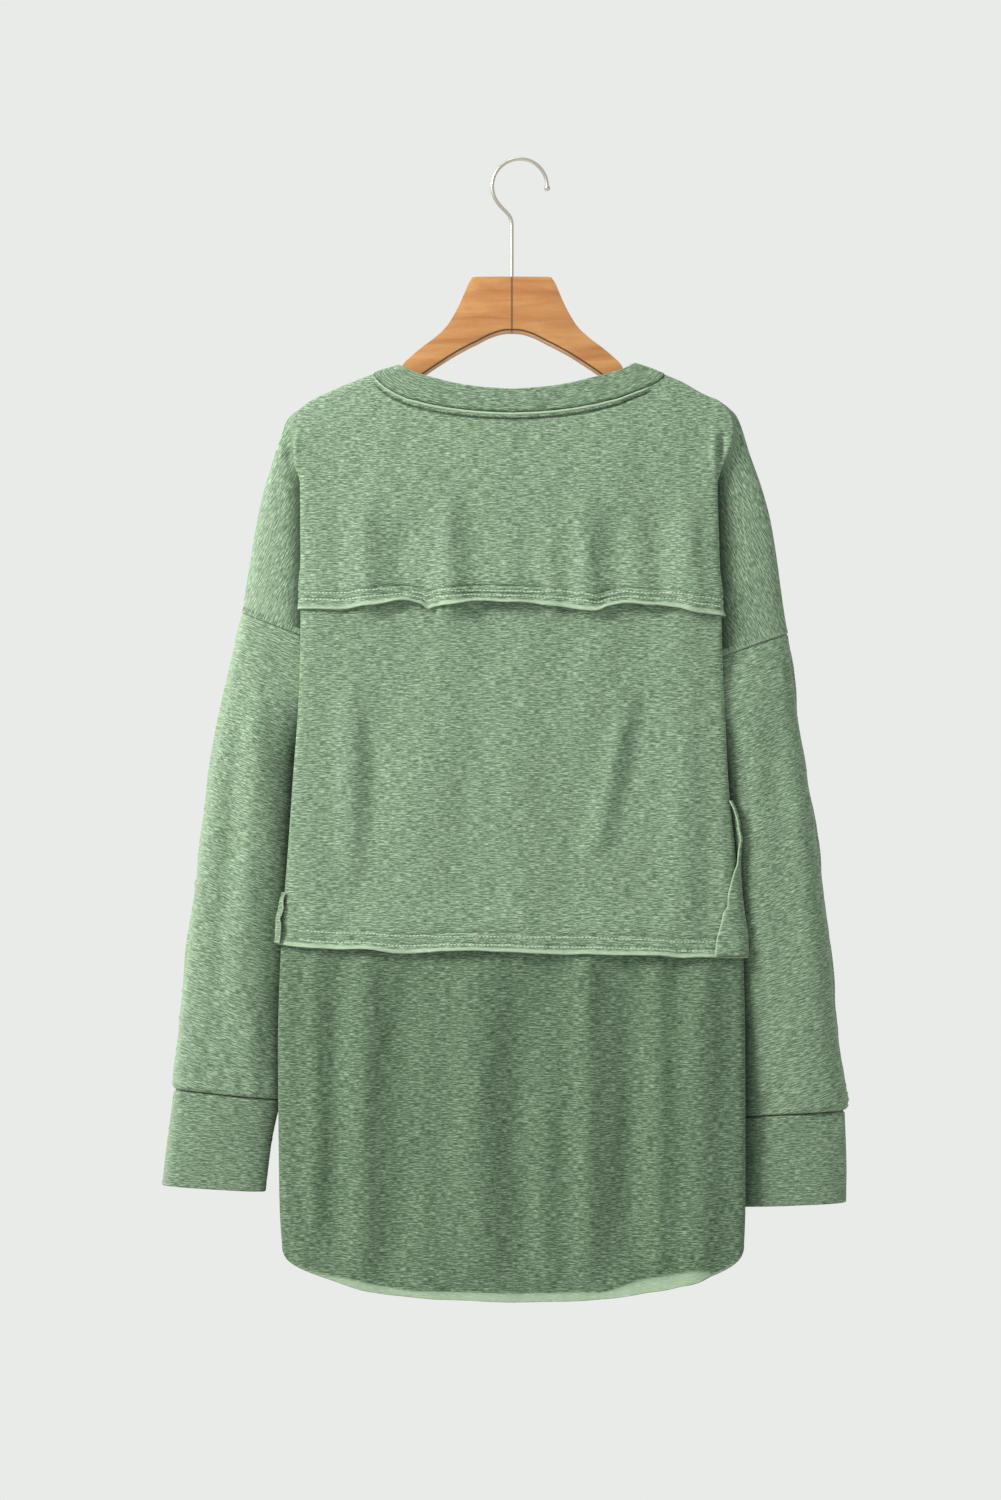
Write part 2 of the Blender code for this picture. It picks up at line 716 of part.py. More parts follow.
def yoke_edge_row(place):
    """The yoke's lower edge: raw across the back, and the sleeve seam past the side's tuck."""
    raw = tier_edge(YOKE_EDGE, place, False)
    near = min(place, LAST_PLACE - place)
    if near >= BEHIND_PLACE:
        return raw
    return lerp(1.0, raw, between(near, (VALLEY_PLACE, BEHIND_PLACE)))


def middle_top_row(place):
    """The middle tier's top edge: lapped under the yoke, and butted to it inside the tuck."""
    near = min(place, LAST_PLACE - place)
    butted = yoke_edge_row(place) + BUTT_ROWS
    lapped = tier_edge(YOKE_EDGE, place, False, TIER_LAP)
    return lerp(butted, lapped, ease((near - LAP_FROM) / LAP_FADE))


def edge_lift(edges, place, row, edge_row, full_from, start):
    """How far a tier stands off the cloth below it, near its raw edge."""
    near = min(place, LAST_PLACE - place)
    x = x_at(place, edges[0].z)
    curl = track_of(edges, "x", "curl")(x)
    reach = ease((1.0 + (row - edge_row) / start) / (1.0 - FULL_LIFT))
    rim = ease(1.0 + (row - edge_row) / (RIM_SHARE * start))
    return ease((near - full_from) / LIFT_FADE) * (TIER_LIFT * reach + curl * rim)


class Panel(NamedTuple):
    """A body panel: the places across it, its rows down, its first and last row, its lift."""

    places: tuple
    steps: tuple
    top: object
    bottom: object
    lift: object
    front: bool


def panel_rows(panel):
    """The panel's pairs of points, row by row from its lower edge up."""
    rows = []
    for step in reversed(panel.steps):
        line = []
        for place in panel.places:
            row = lerp(panel.top(place), panel.bottom(place), step)
            line.append(wall_points(place, row, panel.front, panel.lift(place, row)))
        rows.append(line)
    return rows


def no_lift(place, row):
    """A panel that lies on the body's own surface."""
    return 0.0


def yoke_lift(place, row):
    """The yoke's raw edge stands off the middle tier."""
    edge_row = yoke_edge_row(place)
    return edge_lift(YOKE_EDGE, place, row, edge_row, YOKE_LIFT_FROM, YOKE_LIFT_ROWS)


def middle_edge_row(place):
    """The middle tier's raw edge."""
    return tier_edge(MIDDLE_EDGE, place, False)


def middle_lift(place, row):
    """The middle tier's raw edge stands off the lower tier, all round to the side seam."""
    edge_row = middle_edge_row(place)
    return edge_lift(MIDDLE_EDGE, place, row, edge_row, TIER_LIFT_FROM, TIER_LIFT_ROWS)


def front_edge_row(place):
    """The front panel's raw edge."""
    return tier_edge(FRONT_EDGE, place, True)


def front_lift(place, row):
    """The front panel's raw edge stands off the lower front."""
    edge_row = front_edge_row(place)
    return edge_lift(FRONT_EDGE, place, row, edge_row, TIER_LIFT_FROM, TIER_LIFT_ROWS)


def seam_allowance_rows(side):
    """A raw seam allowance lapped round the body's side onto the middle tier."""
    edge = SEAM_EDGES[side]
    edge_x = track_of(edge, "z", "x")
    low = track_of(MIDDLE_EDGE, "x", "z")(side * edge[-1].x) + ALLOWANCE_SHORT
    rows = []
    for step in reversed(ALLOWANCE_STEPS):
        z = lerp(edge[0].z, low, step)
        share = min(edge_x(z) / RIDGE_X[side](z), ALLOWANCE_END)
        line = []
        for across in ALLOWANCE_ACROSS:
            near = lerp(ALLOWANCE_PLACE, MIDDLE_PLACE - TENTHS * share, across)
            place = near if side == LEFT else LAST_PLACE - near
            row = row_at(place, z, False)
            lift = middle_lift(place, row) + ALLOWANCE_LIFT + ALLOWANCE_CURL * ease(across)
            line.append(wall_points(place, row, False, lift, ALLOWANCE_CLOTH))
        rows.append(line if side == LEFT else line[::-1])
    return rows


BACK_YOKE = Panel(
    YOKE_PLACES, TOP_STEPS, lambda p: neck_row(p, False), yoke_edge_row, yoke_lift, False
)
BACK_MIDDLE = Panel(TIER_PLACES, TIER_STEPS, middle_top_row, middle_edge_row, middle_lift, False)
BACK_LOWER = Panel(
    TIER_PLACES,
    LOWER_STEPS,
    lambda p: tier_edge(MIDDLE_EDGE, p, False, TIER_LAP),
    lambda p: 2.0,
    no_lift,
    False,
)
FRONT_LOWER = Panel(
    FRONT_TIER_PLACES,
    FRONT_HEM_STEPS,
    lambda p: tier_edge(FRONT_EDGE, p, True, TIER_LAP),
    lambda p: 2.0,
    no_lift,
    True,
)


def front_body_rows():
    """The whole front down to its raw edge, with nothing where the sleeves begin."""
    rows = []
    for step in reversed(FRONT_LOW_STEPS):
        line = []
        for place in FRONT_PLACES:
            if not SIDE_SEAM <= place <= LAST_PLACE - SIDE_SEAM:
                line.append(None)
                continue
            row = lerp(1.0, front_edge_row(place), step)
            line.append(wall_points(place, row, True, front_lift(place, row)))
        rows.append(line)
    for step in reversed(TOP_STEPS):
        line = []
        for place in FRONT_PLACES:
            row = lerp(neck_row(place, True), 1.0, step)
            line.append(wall_points(place, row, True, 0.0))
        rows.append(line)
    return rows


def sleeve_ring_points(ring, side):
    """The net of a closed section through a sleeve: its back from outside in, then its front."""
    outer = Vector((ring.outer_x + OUTER_ROUNDING, 0, ring.outer_z))
    inner = Vector((ring.inner_x, 0, ring.inner_z))
    half = []
    for face in SLEEVE_FACES:
        point = outer.lerp(inner, face.across)
        half.append(Vector((side * point.x, -face.deep * ring.deep, point.z)))
    return half + [Vector((point.x, -point.y, point.z)) for point in reversed(half)]


def closed_spline(points, steps):
    """Points on a closed uniform cubic B-spline, with some steps to each point of its net."""
    count = len(points)
    line = []
    for first in range(count):
        for step in range(steps):
            weights = cubic_weights(step / steps)
            line.append(
                sum(
                    (w * points[(first - 1 + i) % count] for i, w in enumerate(weights)),
                    Vector((0, 0, 0)),
                )
            )
    return line


def first_sleeve_ring(side):
    """The sleeve's top section, a seam's gap below the armhole."""
    armhole = ARMHOLES[side]
    inner_x = RIDGE_X[side](armhole.inner_z) - INSET(armhole.inner_z)
    lower = SLEEVES[side][0]
    outer_drop = armhole.outer_z - SEAM_GAP
    inner_drop = armhole.inner_z - SEAM_GAP
    deep = DEPTH_AT["sleeve"](TIP_Z - lerp(armhole.outer_z, armhole.inner_z, SEAM_LEVEL))
    outer_x = OUTER_X[side](armhole.outer_z)
    step = (armhole.outer_z - outer_drop) / (armhole.outer_z - lower.outer_z)
    return SleeveRing(lerp(outer_x, lower.outer_x, step), outer_drop, inner_x, inner_drop, deep)


def ring_wall(line, across, wall):
    """Pairs of points round a section: the outer ones and ones a wall's depth inside them."""
    pairs = []
    for before, point, after in zip(line[-1:] + line[:-1], line, line[1:] + line[:1]):
        tangent = after - before
        along = tangent.dot(across)
        inward = (across * tangent.y - Vector((0, along, 0))).normalized()
        pairs.append((point, point + inward * wall))
    return pairs


def tube_rows(rings, side, fractions, around, wall):
    """Rows of pairs of points down a sleeve or cuff, smoothed through its sections."""
    keys = list(range(len(rings)))
    tracks = [Track(keys, [ring[i] for ring in rings]) for i in range(len(SleeveRing._fields))]
    rows = []
    for fraction in fractions:
        at = fraction * keys[-1]
        ring = SleeveRing(*(track(at) for track in tracks))
        line = closed_spline(sleeve_ring_points(ring, side), around)
        across = Vector((side * (ring.outer_x - ring.inner_x), 0, ring.outer_z - ring.inner_z))
        rows.append(ring_wall(line, side * across.normalized(), side * wall))
    return rows


def band_points(share, u, front):
    """The outer and inner point of the neckband at a fraction of its half width, -1 to 1."""
    half = lerp(NECK_HALF - SEAM_GAP, BAND_HALF, share)
    power = lerp(NECK_POWER[front], BAND_POWER, share)
    seam_z = (NECK_FRONT_Z if front else NECK_BACK_Z) + SEAM_GAP
    low = lerp(seam_z, BAND_FRONT_Z if front else BAND_BACK_Z, share)
    z = lerp(CREST_Z(half), low, (1 - u * u) ** (power / 2))
    place = MIDDLE_PLACE + TENTHS * half * u / TIP_X
    row = max(row_at(place, z, front), 0.0) if abs(u) < 1.0 else 0.0
    point = body_point(place, row, front)
    facing_out = facing(place, row, front)
    away = 1 if front else -1
    pair = (point + facing_out * BAND_PROUD, point - facing_out * (BAND_CLOTH - BAND_PROUD))
    return tuple(Vector((p.x, away * p.y, p.z)) for p in pair)


def band_rows():
    """Rows of pairs of points round the neckband, from its seam to its free edge."""
    rows = []
    for share in BAND_SHARES:
        line = []
        for places, front in ((YOKE_PLACES, False), (FRONT_PLACES[::-1], True)):
            across = [(place - MIDDLE_PLACE) / (MIDDLE_PLACE - NECK_PLACE) for place in places]
            inside = [u for u in across if abs(u) <= 1.0]
            line += [band_points(share, u, front) for u in inside[:-1]]
        rows.append(line)
    return rows


def material(name, colour, roughness, metallic=0.0):
    """A finish with a colour, a roughness and a metallic value."""
    finish = bpy.data.materials.new(name)
    finish.use_nodes = True
    shader = finish.node_tree.nodes["Principled BSDF"]
    shader.inputs["Base Color"].default_value = (*colour, 1.0)
    shader.inputs["Roughness"].default_value = roughness
    shader.inputs["Metallic"].default_value = metallic
    return finish


def place_in(collection, name, data, finish, parent):
    """An object for a sub-part, in the garment's collection and under its parent."""
    part = bpy.data.objects.new(name, data)
    data.materials.append(finish)
    collection.objects.link(part)
    part.parent = parent
    return part


def cloth_grid(rows, closed):
    """A grid laid on rows of points, joined round where it is a tube, and their order."""
    if closed:
        rows = [line + line[:1] for line in rows]
    grid = bmesh.new()
    order = grid.verts.layers.int.new("order")
    bmesh.ops.create_grid(grid, x_segments=len(rows[0]) - 1, y_segments=len(rows) - 1, size=1.0)
    points = [point for line in rows for point in line]
    missing = [vertex for vertex, point in zip(grid.verts, points) if point is None]
    for index, (vertex, point) in enumerate(zip(grid.verts, points)):
        vertex[order] = index
        if point is not None:
            vertex.co = point
    bmesh.ops.delete(grid, geom=missing, context="VERTS")
    bmesh.ops.remove_doubles(grid, verts=grid.verts, dist=WELD)
    return grid, order


def finished_mesh(name, grid):
    """The grid as a mesh, shaded smooth."""
    mesh = bpy.data.meshes.new(name)
    grid.to_mesh(mesh)
    grid.free()
    mesh.shade_smooth()
    return mesh


def cloth_wall(name, pairs, closed=False):
    """A wall between an outer and an inner set of points, drawn out from one grid."""
    outer = [[pair and pair[0] for pair in line] for line in pairs]
    grid, order = cloth_grid(outer, closed)
    if closed:
        pairs = [line + line[:1] for line in pairs]
    inner = [pair and pair[1] for line in pairs for pair in line]
    drawn = bmesh.ops.extrude_face_region(grid, geom=grid.faces[:])["geom"]
    for vertex in drawn:
        if isinstance(vertex, bmesh.types.BMVert):
            vertex.co = inner[vertex[order]]
    bmesh.ops.recalc_face_normals(grid, faces=grid.faces)
    if grid.calc_volume(signed=True) < 0.0:
        bmesh.ops.reverse_faces(grid, faces=grid.faces)
    return finished_mesh(name, grid)


class Outline(NamedTuple):
    """Top and lower edge of the hanger's arm at a place out from its middle."""

    across: float
    top_z: float
    low_z: float


ARM_OUTLINE = (
    Outline(0.0000, -0.0965, -0.1427),
    Outline(0.0170, -0.0965, -0.1460),
    Outline(0.0335, -0.0967, -0.1541),
    Outline(0.0376, -0.1061, -0.1563),
    Outline(0.0434, -0.1196, -0.1594),
    Outline(0.0480, -0.1282, -0.1620),
    Outline(0.0537, -0.1373, -0.1656),
    Outline(0.0639, -0.1471, -0.1722),
    Outline(0.0742, -0.1548, -0.1792),
    Outline(0.0850, -0.1650, -0.1860),
    Outline(0.0920, -0.1735, -0.1900),
    Outline(0.1144, -0.1858, -0.2010),
    Outline(0.1406, -0.1957, -0.2110),
    Outline(0.1590, -0.2042, -0.2170),
    Outline(0.1630, -0.2076, -0.2168),
    Outline(0.1644, -0.2105, -0.2145),
)


def hanger_wood(collection, finish, parent):
    """The hanger's body: a flat outline with rounded edges."""
    right = [Vector((p.across, p.top_z, 0)) for p in ARM_OUTLINE]
    under = [Vector((p.across, p.low_z, 0)) for p in reversed(ARM_OUTLINE)]
    half = right + under
    mirrored_half = [Vector((-p.x, p.y, 0)) for p in reversed(half[1:-1])]
    outline = half + mirrored_half
    curve = bpy.data.curves.new("hanger_wood", "CURVE")
    curve.dimensions = "2D"
    curve.fill_mode = "BOTH"
    curve.extrude = HANGER_HALF - HANGER_BEVEL
    curve.bevel_depth = HANGER_BEVEL
    curve.bevel_resolution = 2
    curve.offset = -HANGER_BEVEL
    spline = curve.splines.new("POLY")
    spline.points.add(len(outline) - 1)
    for point, place in zip(spline.points, outline):
        point.co = (*place, 1.0)
    spline.use_cyclic_u = True
    part = place_in(collection, "hanger_wood", curve, finish, parent)
    part.rotation_euler = (math.pi / 2, 0, 0)
    return part


def hook_route():
    """The wire's middle line: the rounded end, the arc, the bend back and the stem."""
    centre = Vector((HOOK_REACH, 0, -HOOK_RADIUS + WIRE / 2))
    arc = []
    for step in range(HOOK_ARC_STEPS + 1):
        angle = math.radians(lerp(HOOK_START_DEG, HOOK_END_DEG, step / HOOK_ARC_STEPS))
        arc.append(centre + HOOK_RADIUS * Vector((math.cos(angle), 0, math.sin(angle))))
    last = math.radians(HOOK_END_DEG)
    heading = Vector((-math.sin(last), 0, math.cos(last)))
    join = Vector((0, 0, STEM_JOIN_Z))
    reach = HOOK_BEND * (join - arc[-1]).length
    handles = (arc[-1], arc[-1] + heading * reach, join + Vector((0, 0, reach)), join)
    bend = []
    for step in range(1, STEM_STEPS + 1):
        t = step / STEM_STEPS
        weights = ((1 - t) ** 3, 3 * t * (1 - t) ** 2, 3 * t * t * (1 - t), t**3)
        bend.append(sum((w * h for w, h in zip(weights, handles)), Vector((0, 0, 0))))
    foot = Vector((0, 0, WOOD_TOP_Z + SEAM_GAP))
    return arc, bend + [join.lerp(foot, 0.5), foot]


def hanger_hook(collection, finish, parent):
    """The hook: round wire with a small ball at its end."""
    arc, stem = hook_route()
    start = arc[0]
    back = (arc[0] - arc[1]).normalized() * BALL_STEP
    ball = [start + back * (len(BALL_SWELL) - 1 - i) for i in range(len(BALL_SWELL))]
    route = ball[:-1] + arc + stem
    swell = BALL_SWELL[:-1] + (1.0,) * (len(arc) + len(stem))
    curve = bpy.data.curves.new("hanger_hook", "CURVE")
    curve.dimensions = "3D"
    curve.bevel_depth = WIRE / 2
    curve.bevel_resolution = 2
    curve.use_fill_caps = True
    spline = curve.splines.new("POLY")
    spline.points.add(len(route) - 1)
    for point, place, size in zip(spline.points, route, swell):
        point.co = (*place, 1.0)
        point.radius = size
    return place_in(collection, "hanger_hook", curve, finish, parent)


SLEEVE_STEPS = (0.0, 0.06, 0.14, 0.24, 0.34, 0.45, 0.57, 0.69, 0.81, 0.91, 0.97, 1.0)
CUFF_STEPS = (0.0, 0.08, 0.5, 0.92, 1.0)


def build():
    """Clear the scene and make every sub-part."""
    for leftover in list(bpy.data.objects):
        bpy.data.objects.remove(leftover)
    collection = bpy.data.collections.new(NAME)
    bpy.context.scene.collection.children.link(collection)
    hanger_line = bpy.data.objects.new("hanger_line", None)
    hanger_line.location = (-HOOK_REACH, 0, 0)
    collection.objects.link(hanger_line)

    jersey = material("heather_jersey", (0.22, 0.36, 0.23), 0.90)
    rib = material("heather_rib", (0.21, 0.35, 0.22), 0.92)
    beech = material("lacquered_wood", (0.60, 0.33, 0.12), 0.38)
    nickel = material("brushed_nickel", (0.62, 0.62, 0.60), 0.30, 1.0)

    for name, rows, finish, closed in (
        ("back_yoke", panel_rows(BACK_YOKE), jersey, False),
        ("back_middle", panel_rows(BACK_MIDDLE), jersey, False),
        ("back_lower", panel_rows(BACK_LOWER), jersey, False),
        ("front_body", front_body_rows(), jersey, False),
        ("front_lower", panel_rows(FRONT_LOWER), jersey, False),
        ("neckband", band_rows(), rib, True),
    ):
        place_in(collection, name, cloth_wall(name, rows, closed), finish, hanger_line)

    for side, word in ((LEFT, "left"), (RIGHT, "right")):
        rings = (first_sleeve_ring(side), *SLEEVES[side])
        sleeve = tube_rows(rings, side, SLEEVE_STEPS, 2, CLOTH)
        cuff = tube_rows(CUFFS[side], side, CUFF_STEPS, 2, CUFF_CLOTH)
        for name, rows, finish in ((f"sleeve_{word}", sleeve, jersey), (f"cuff_{word}", cuff, rib)):
            place_in(collection, name, cloth_wall(name, rows, True), finish, hanger_line)
        name = f"side_seam_{word}"
        seam = cloth_wall(name, seam_allowance_rows(side))
        place_in(collection, name, seam, jersey, hanger_line)
    hanger_wood(collection, beech, hanger_line)
    hanger_hook(collection, nickel, hanger_line)


build()
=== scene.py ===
"""The looks of a long-sleeve top with raw-edged back tiers, hung on a wooden hanger.

Every shape is worked out about the hanger's centre line and then moved by HOOK_REACH, because
the row's origin is under the top of the hook. The back faces -Y, +X is the wearer's right and
+Z is up. Units are metres.
"""

import logging
import math
from collections.abc import Callable
from dataclasses import dataclass, field
from enum import Enum

import bmesh
import bpy
import numpy as np
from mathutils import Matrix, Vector


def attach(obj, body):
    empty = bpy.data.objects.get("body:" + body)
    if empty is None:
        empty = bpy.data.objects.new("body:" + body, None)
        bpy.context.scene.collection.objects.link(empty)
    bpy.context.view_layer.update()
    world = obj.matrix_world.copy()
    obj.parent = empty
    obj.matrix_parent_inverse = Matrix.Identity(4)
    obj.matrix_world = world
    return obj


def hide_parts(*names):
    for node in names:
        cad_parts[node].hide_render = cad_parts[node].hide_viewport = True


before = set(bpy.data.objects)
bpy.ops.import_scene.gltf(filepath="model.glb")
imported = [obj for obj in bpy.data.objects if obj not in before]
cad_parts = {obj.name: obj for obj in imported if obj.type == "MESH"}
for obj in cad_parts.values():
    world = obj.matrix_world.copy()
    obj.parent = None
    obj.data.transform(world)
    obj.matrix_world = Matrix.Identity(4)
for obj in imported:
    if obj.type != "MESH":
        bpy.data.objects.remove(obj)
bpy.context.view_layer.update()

LOG = logging.getLogger("top_on_hanger")
HOOK_REACH = 0.0065
BODY = "root"
TINY = 1e-6
NO_LENGTH = 1e-12
UNDER_FRONT = 0.25
Colour = tuple[float, float, float, float]
Across = Callable[[np.ndarray], np.ndarray]


class Side(Enum):
    """The two sides of the top, as signs of X."""

    LEFT = -1
    RIGHT = 1


class Face(Enum):
    """The two faces of the top, as signs of Y."""

    BACK = -1
    FRONT = 1


class Slot(Enum):
    """The record's material slots."""

    JERSEY = "heather_jersey"
    RIB = "heather_rib"
    WOOD = "lacquered_wood"
    NICKEL = "brushed_nickel"


def lerp(start: np.ndarray | float, end: np.ndarray | float, t: np.ndarray | float) -> np.ndarray:
    """The value a fraction of the way from one to another."""
    return start + (end - start) * t


def ease(t: np.ndarray | float) -> np.ndarray:
    """A fraction, or an array of them, that starts and ends gently."""
    t = np.clip(t, 0.0, 1.0)
    return t * t * (3 - 2 * t)


def bump(at: np.ndarray, middle: float, half_width: float) -> np.ndarray:
    """A bell of height 1 about a middle."""
    return np.exp(-(((at - middle) / half_width) ** 2))


def cubic_weights(t: float) -> tuple[float, float, float, float]:
    """The shares of four net points in a uniform cubic B-spline, a fraction past the second.

    Args:
        t: how far past the second point, 0 to 1.

    Returns:
        The four shares.
    """
    first = (1 - t) ** 3 / 6
    second = (3 * t**3 - 6 * t * t + 4) / 6
    third = (-3 * t**3 + 3 * t * t + 3 * t + 1) / 6
    return first, second, third, t**3 / 6


class Track:
    """A smooth run of values through a table's rows, which never overshoots them."""

    def __init__(self, keys: list[float], values: list[float]) -> None:
        """Store the rows in order of their keys, with the slope at each.

        Args:
            keys: where the values stand.
            values: the values there.
        """
        order = np.argsort(keys)
        self.keys = np.asarray(keys, float)[order]
        self.values = np.asarray(values, float)[order]
        rise = np.diff(self.values) / np.diff(self.keys)
        product = rise[:-1] * rise[1:]
        total = rise[:-1] + rise[1:]
        safe = np.where(product > 0.0, total, 1.0)
        inner = np.where(product > 0.0, 2.0 * product / safe, 0.0)
        self.slopes = np.concatenate((rise[:1], inner, rise[-1:]))

    def __call__(self, at: np.ndarray | float) -> np.ndarray:
        """The value at a key or at an array of them.

        Args:
            at: a key, or an array of them.

        Returns:
            The values.
        """
        at = np.clip(np.asarray(at, float), self.keys[0], self.keys[-1])
        place = np.clip(np.searchsorted(self.keys, at, side="right") - 1, 0, len(self.keys) - 2)
        span = self.keys[place + 1] - self.keys[place]
        t = (at - self.keys[place]) / span
        return (
            self.values[place] * (1 + 2 * t) * (1 - t) ** 2
            + self.slopes[place] * span * t * (1 - t) ** 2
            + self.values[place + 1] * t * t * (3 - 2 * t)
            + self.slopes[place + 1] * span * t * t * (t - 1)
        )


def track_of(rows: tuple, key: str, value: str) -> Track:
    """The track of one named column of a table against another."""
    return Track([getattr(row, key) for row in rows], [getattr(row, value) for row in rows])


def tracks_by_side(rows: tuple, key: str, stem: str) -> dict[Side, Track]:
    """The tracks of a table's left and right columns, whose names start with a stem."""
    return {side: track_of(rows, key, stem + side.name.lower()) for side in Side}


@dataclass(frozen=True)
class Crest:
    """A point on the shoulder line, from the hanger's middle out to its tip."""

    across: float
    z: float


@dataclass(frozen=True)
class Width:
    """Half widths at a height: the body's folded side, the sleeve top and the side's tuck."""

    z: float
    ridge_left: float
    ridge_right: float
    outer_left: float
    outer_right: float
    inset: float
    valley: float


@dataclass(frozen=True)
class Depth:
    """Distances from the middle plane at a drop below the shoulder line."""

    drop: float
    centre: float
    ridge: float
    behind: float
    sleeve: float


@dataclass(frozen=True)
class Armhole:
    """Heights of the outer and the underarm end of a sleeve seam."""

    outer_z: float
    inner_z: float


@dataclass(frozen=True)
class SleeveFace:
    """A place across a flattened sleeve, and how deep the cloth stands there."""

    across: float
    deep: float


@dataclass(frozen=True)
class Hem:
    """Height of the lowest hem at a place across the body, -1 to 1."""

    across: float
    back_z: float
    front_z: float


@dataclass(frozen=True)
class Edge:
    """A point on a tier's raw edge: its height, how far it stands off, and its roll, 0 to 1."""

    x: float
    z: float
    curl: float
    roll: float = 0.3


@dataclass(frozen=True)
class Fold:
    """A soft fold: where it starts and ends, its half width, and how far it stands out."""

    top_x: float
    top_z: float
    low_x: float
    low_z: float
    half_width: float
    height: float
    start: float = 0.40
    end: float = 0.12
    hollow: float = 0.30
    hollow_spread: float = 6.0

    def push(self, x: np.ndarray, z: np.ndarray) -> np.ndarray:
        """How far the fold pushes the cloth out at places on it.

        Args:
            x: how far across each point lies.
            z: the height of each point.

        Returns:
            The distances.
        """
        run = (self.top_z - z) / (self.top_z - self.low_z)
        off = (x - lerp(self.top_x, self.low_x, run)) / self.half_width
        rise = ease(run / self.start) * ease((1 - run) / self.end)
        beside = self.hollow * np.exp(-off * off / self.hollow_spread)
        return self.height * rise * (np.exp(-off * off) - beside)


@dataclass(frozen=True)
class Crease:
    """A narrow soft trough or ridge that fades at both ends."""

    top_x: float
    top_z: float
    low_x: float
    low_z: float
    half_width: float
    height: float
    past: float = 0.15
    fade: float = 0.4

    def push(self, x: np.ndarray, z: np.ndarray) -> np.ndarray:
        """How far the crease pushes the cloth out at places on it.

        Args:
            x: how far across each point lies.
            z: the height of each point.

        Returns:
            The distances.
        """
        axis = np.array([self.low_x - self.top_x, self.low_z - self.top_z])
        length = float(np.hypot(*axis))
        axis = axis / length
        run = ((x - self.top_x) * axis[0] + (z - self.top_z) * axis[1]) / length
        off = ((x - self.top_x) * axis[1] - (z - self.top_z) * axis[0]) / self.half_width
        fade = ease((run + self.past) / self.fade) * ease((1 + self.past - run) / self.fade)
        return self.height * fade * np.exp(-off * off)


@dataclass(frozen=True)
class Swell:
    """An uneven swell of cloth: seeded waves of about one length, longer down the cloth."""

    seed: int
    length: float
    height: float
    stretch: float = 1.0
    waves: int = 8
    lengths: tuple[float, float] = (0.7, 1.5)

    def push(self, x: np.ndarray, z: np.ndarray) -> np.ndarray:
        """How far the swell pushes the cloth out at places on it.

        Args:
            x: how far across each point lies.
            z: the height of each point.

        Returns:
            The distances.
        """
        random = np.random.default_rng(self.seed)
        total = np.zeros(np.broadcast(x, z).shape)
        for _ in range(self.waves):
            angle = random.uniform(0, 2 * math.pi)
            length = self.length * random.uniform(*self.lengths)
            phase = random.uniform(0, 2 * math.pi)
            wave_x = 2 * math.pi * math.cos(angle) / length
            wave_z = 2 * math.pi * math.sin(angle) / (length * self.stretch)
            total = total + np.sin(wave_x * x + wave_z * z + phase)
        return self.height * total / math.sqrt(self.waves)


CREST = (
    Crest(0.0000, -0.1600),
    Crest(0.0800, -0.1650),
    Crest(0.0925, -0.1692),
    Crest(0.1144, -0.1793),
    Crest(0.1406, -0.1905),
    Crest(0.1636, -0.2004),
    Crest(0.1720, -0.2050),
)

WIDTHS = (
    Width(-0.205, 0.1720, 0.1720, 0.1735, 0.1770, 0.0000, 0.010),
    Width(-0.214, 0.1742, 0.1735, 0.1850, 0.1860, 0.0000, 0.010),
    Width(-0.225, 0.1760, 0.1740, 0.1898, 0.1908, 0.0000, 0.010),
    Width(-0.235, 0.1765, 0.1730, 0.1930, 0.1940, 0.0010, 0.010),
    Width(-0.243, 0.1757, 0.1708, 0.1958, 0.1966, 0.0020, 0.010),
    Width(-0.254, 0.1746, 0.1690, 0.1990, 0.2006, 0.0050, 0.010),
    Width(-0.270, 0.1740, 0.1688, 0.2040, 0.2062, 0.0105, 0.010),
    Width(-0.300, 0.1737, 0.1695, 0.2108, 0.2142, 0.0195, 0.010),
    Width(-0.375, 0.1734, 0.1718, 0.2234, 0.2254, 0.0380, 0.010),
    Width(-0.410, 0.1738, 0.1726, 0.2300, 0.2310, 0.0445, 0.010),
    Width(-0.450, 0.1752, 0.1745, 0.2380, 0.2340, 0.0360, 0.012),
    Width(-0.508, 0.1793, 0.1770, 0.2500, 0.2425, 0.0240, 0.010),
    Width(-0.570, 0.1836, 0.1830, 0.2580, 0.2513, 0.0180, 0.008),
    Width(-0.650, 0.1894, 0.1895, 0.2690, 0.2612, 0.0140, 0.007),
    Width(-0.730, 0.1918, 0.1912, 0.2760, 0.2702, 0.0120, 0.0065),
    Width(-0.860, 0.1906, 0.1915, 0.2887, 0.2759, 0.0080, 0.006),
    Width(-0.900, 0.1880, 0.1900, 0.2887, 0.2759, 0.0060, 0.006),
    Width(-0.940, 0.1840, 0.1860, 0.2887, 0.2759, 0.0060, 0.006),
)

DEPTHS = (
    Depth(0.009, 0.0090, 0.0090, 0.0080, 0.0076),
    Depth(0.022, 0.0118, 0.0122, 0.0096, 0.0086),
    Depth(0.036, 0.0138, 0.0148, 0.0105, 0.0086),
    Depth(0.060, 0.0165, 0.0175, 0.0112, 0.0088),
    Depth(0.120, 0.0215, 0.0220, 0.0145, 0.0115),
    Depth(0.200, 0.0250, 0.0250, 0.0175, 0.0145),
    Depth(0.350, 0.0275, 0.0250, 0.0155, 0.0145),
    Depth(0.450, 0.0280, 0.0240, 0.0145, 0.0145),
    Depth(0.750, 0.0260, 0.0200, 0.0115, 0.0145),
)

ARMHOLES = {Side.LEFT: Armhole(-0.3740, -0.4100), Side.RIGHT: Armhole(-0.3906, -0.4250)}


@dataclass(frozen=True)
class Rise:
    """How far the worn-in shoulder line stands above its plain curve, at a place across it."""

    across: float
    left: float
    right: float


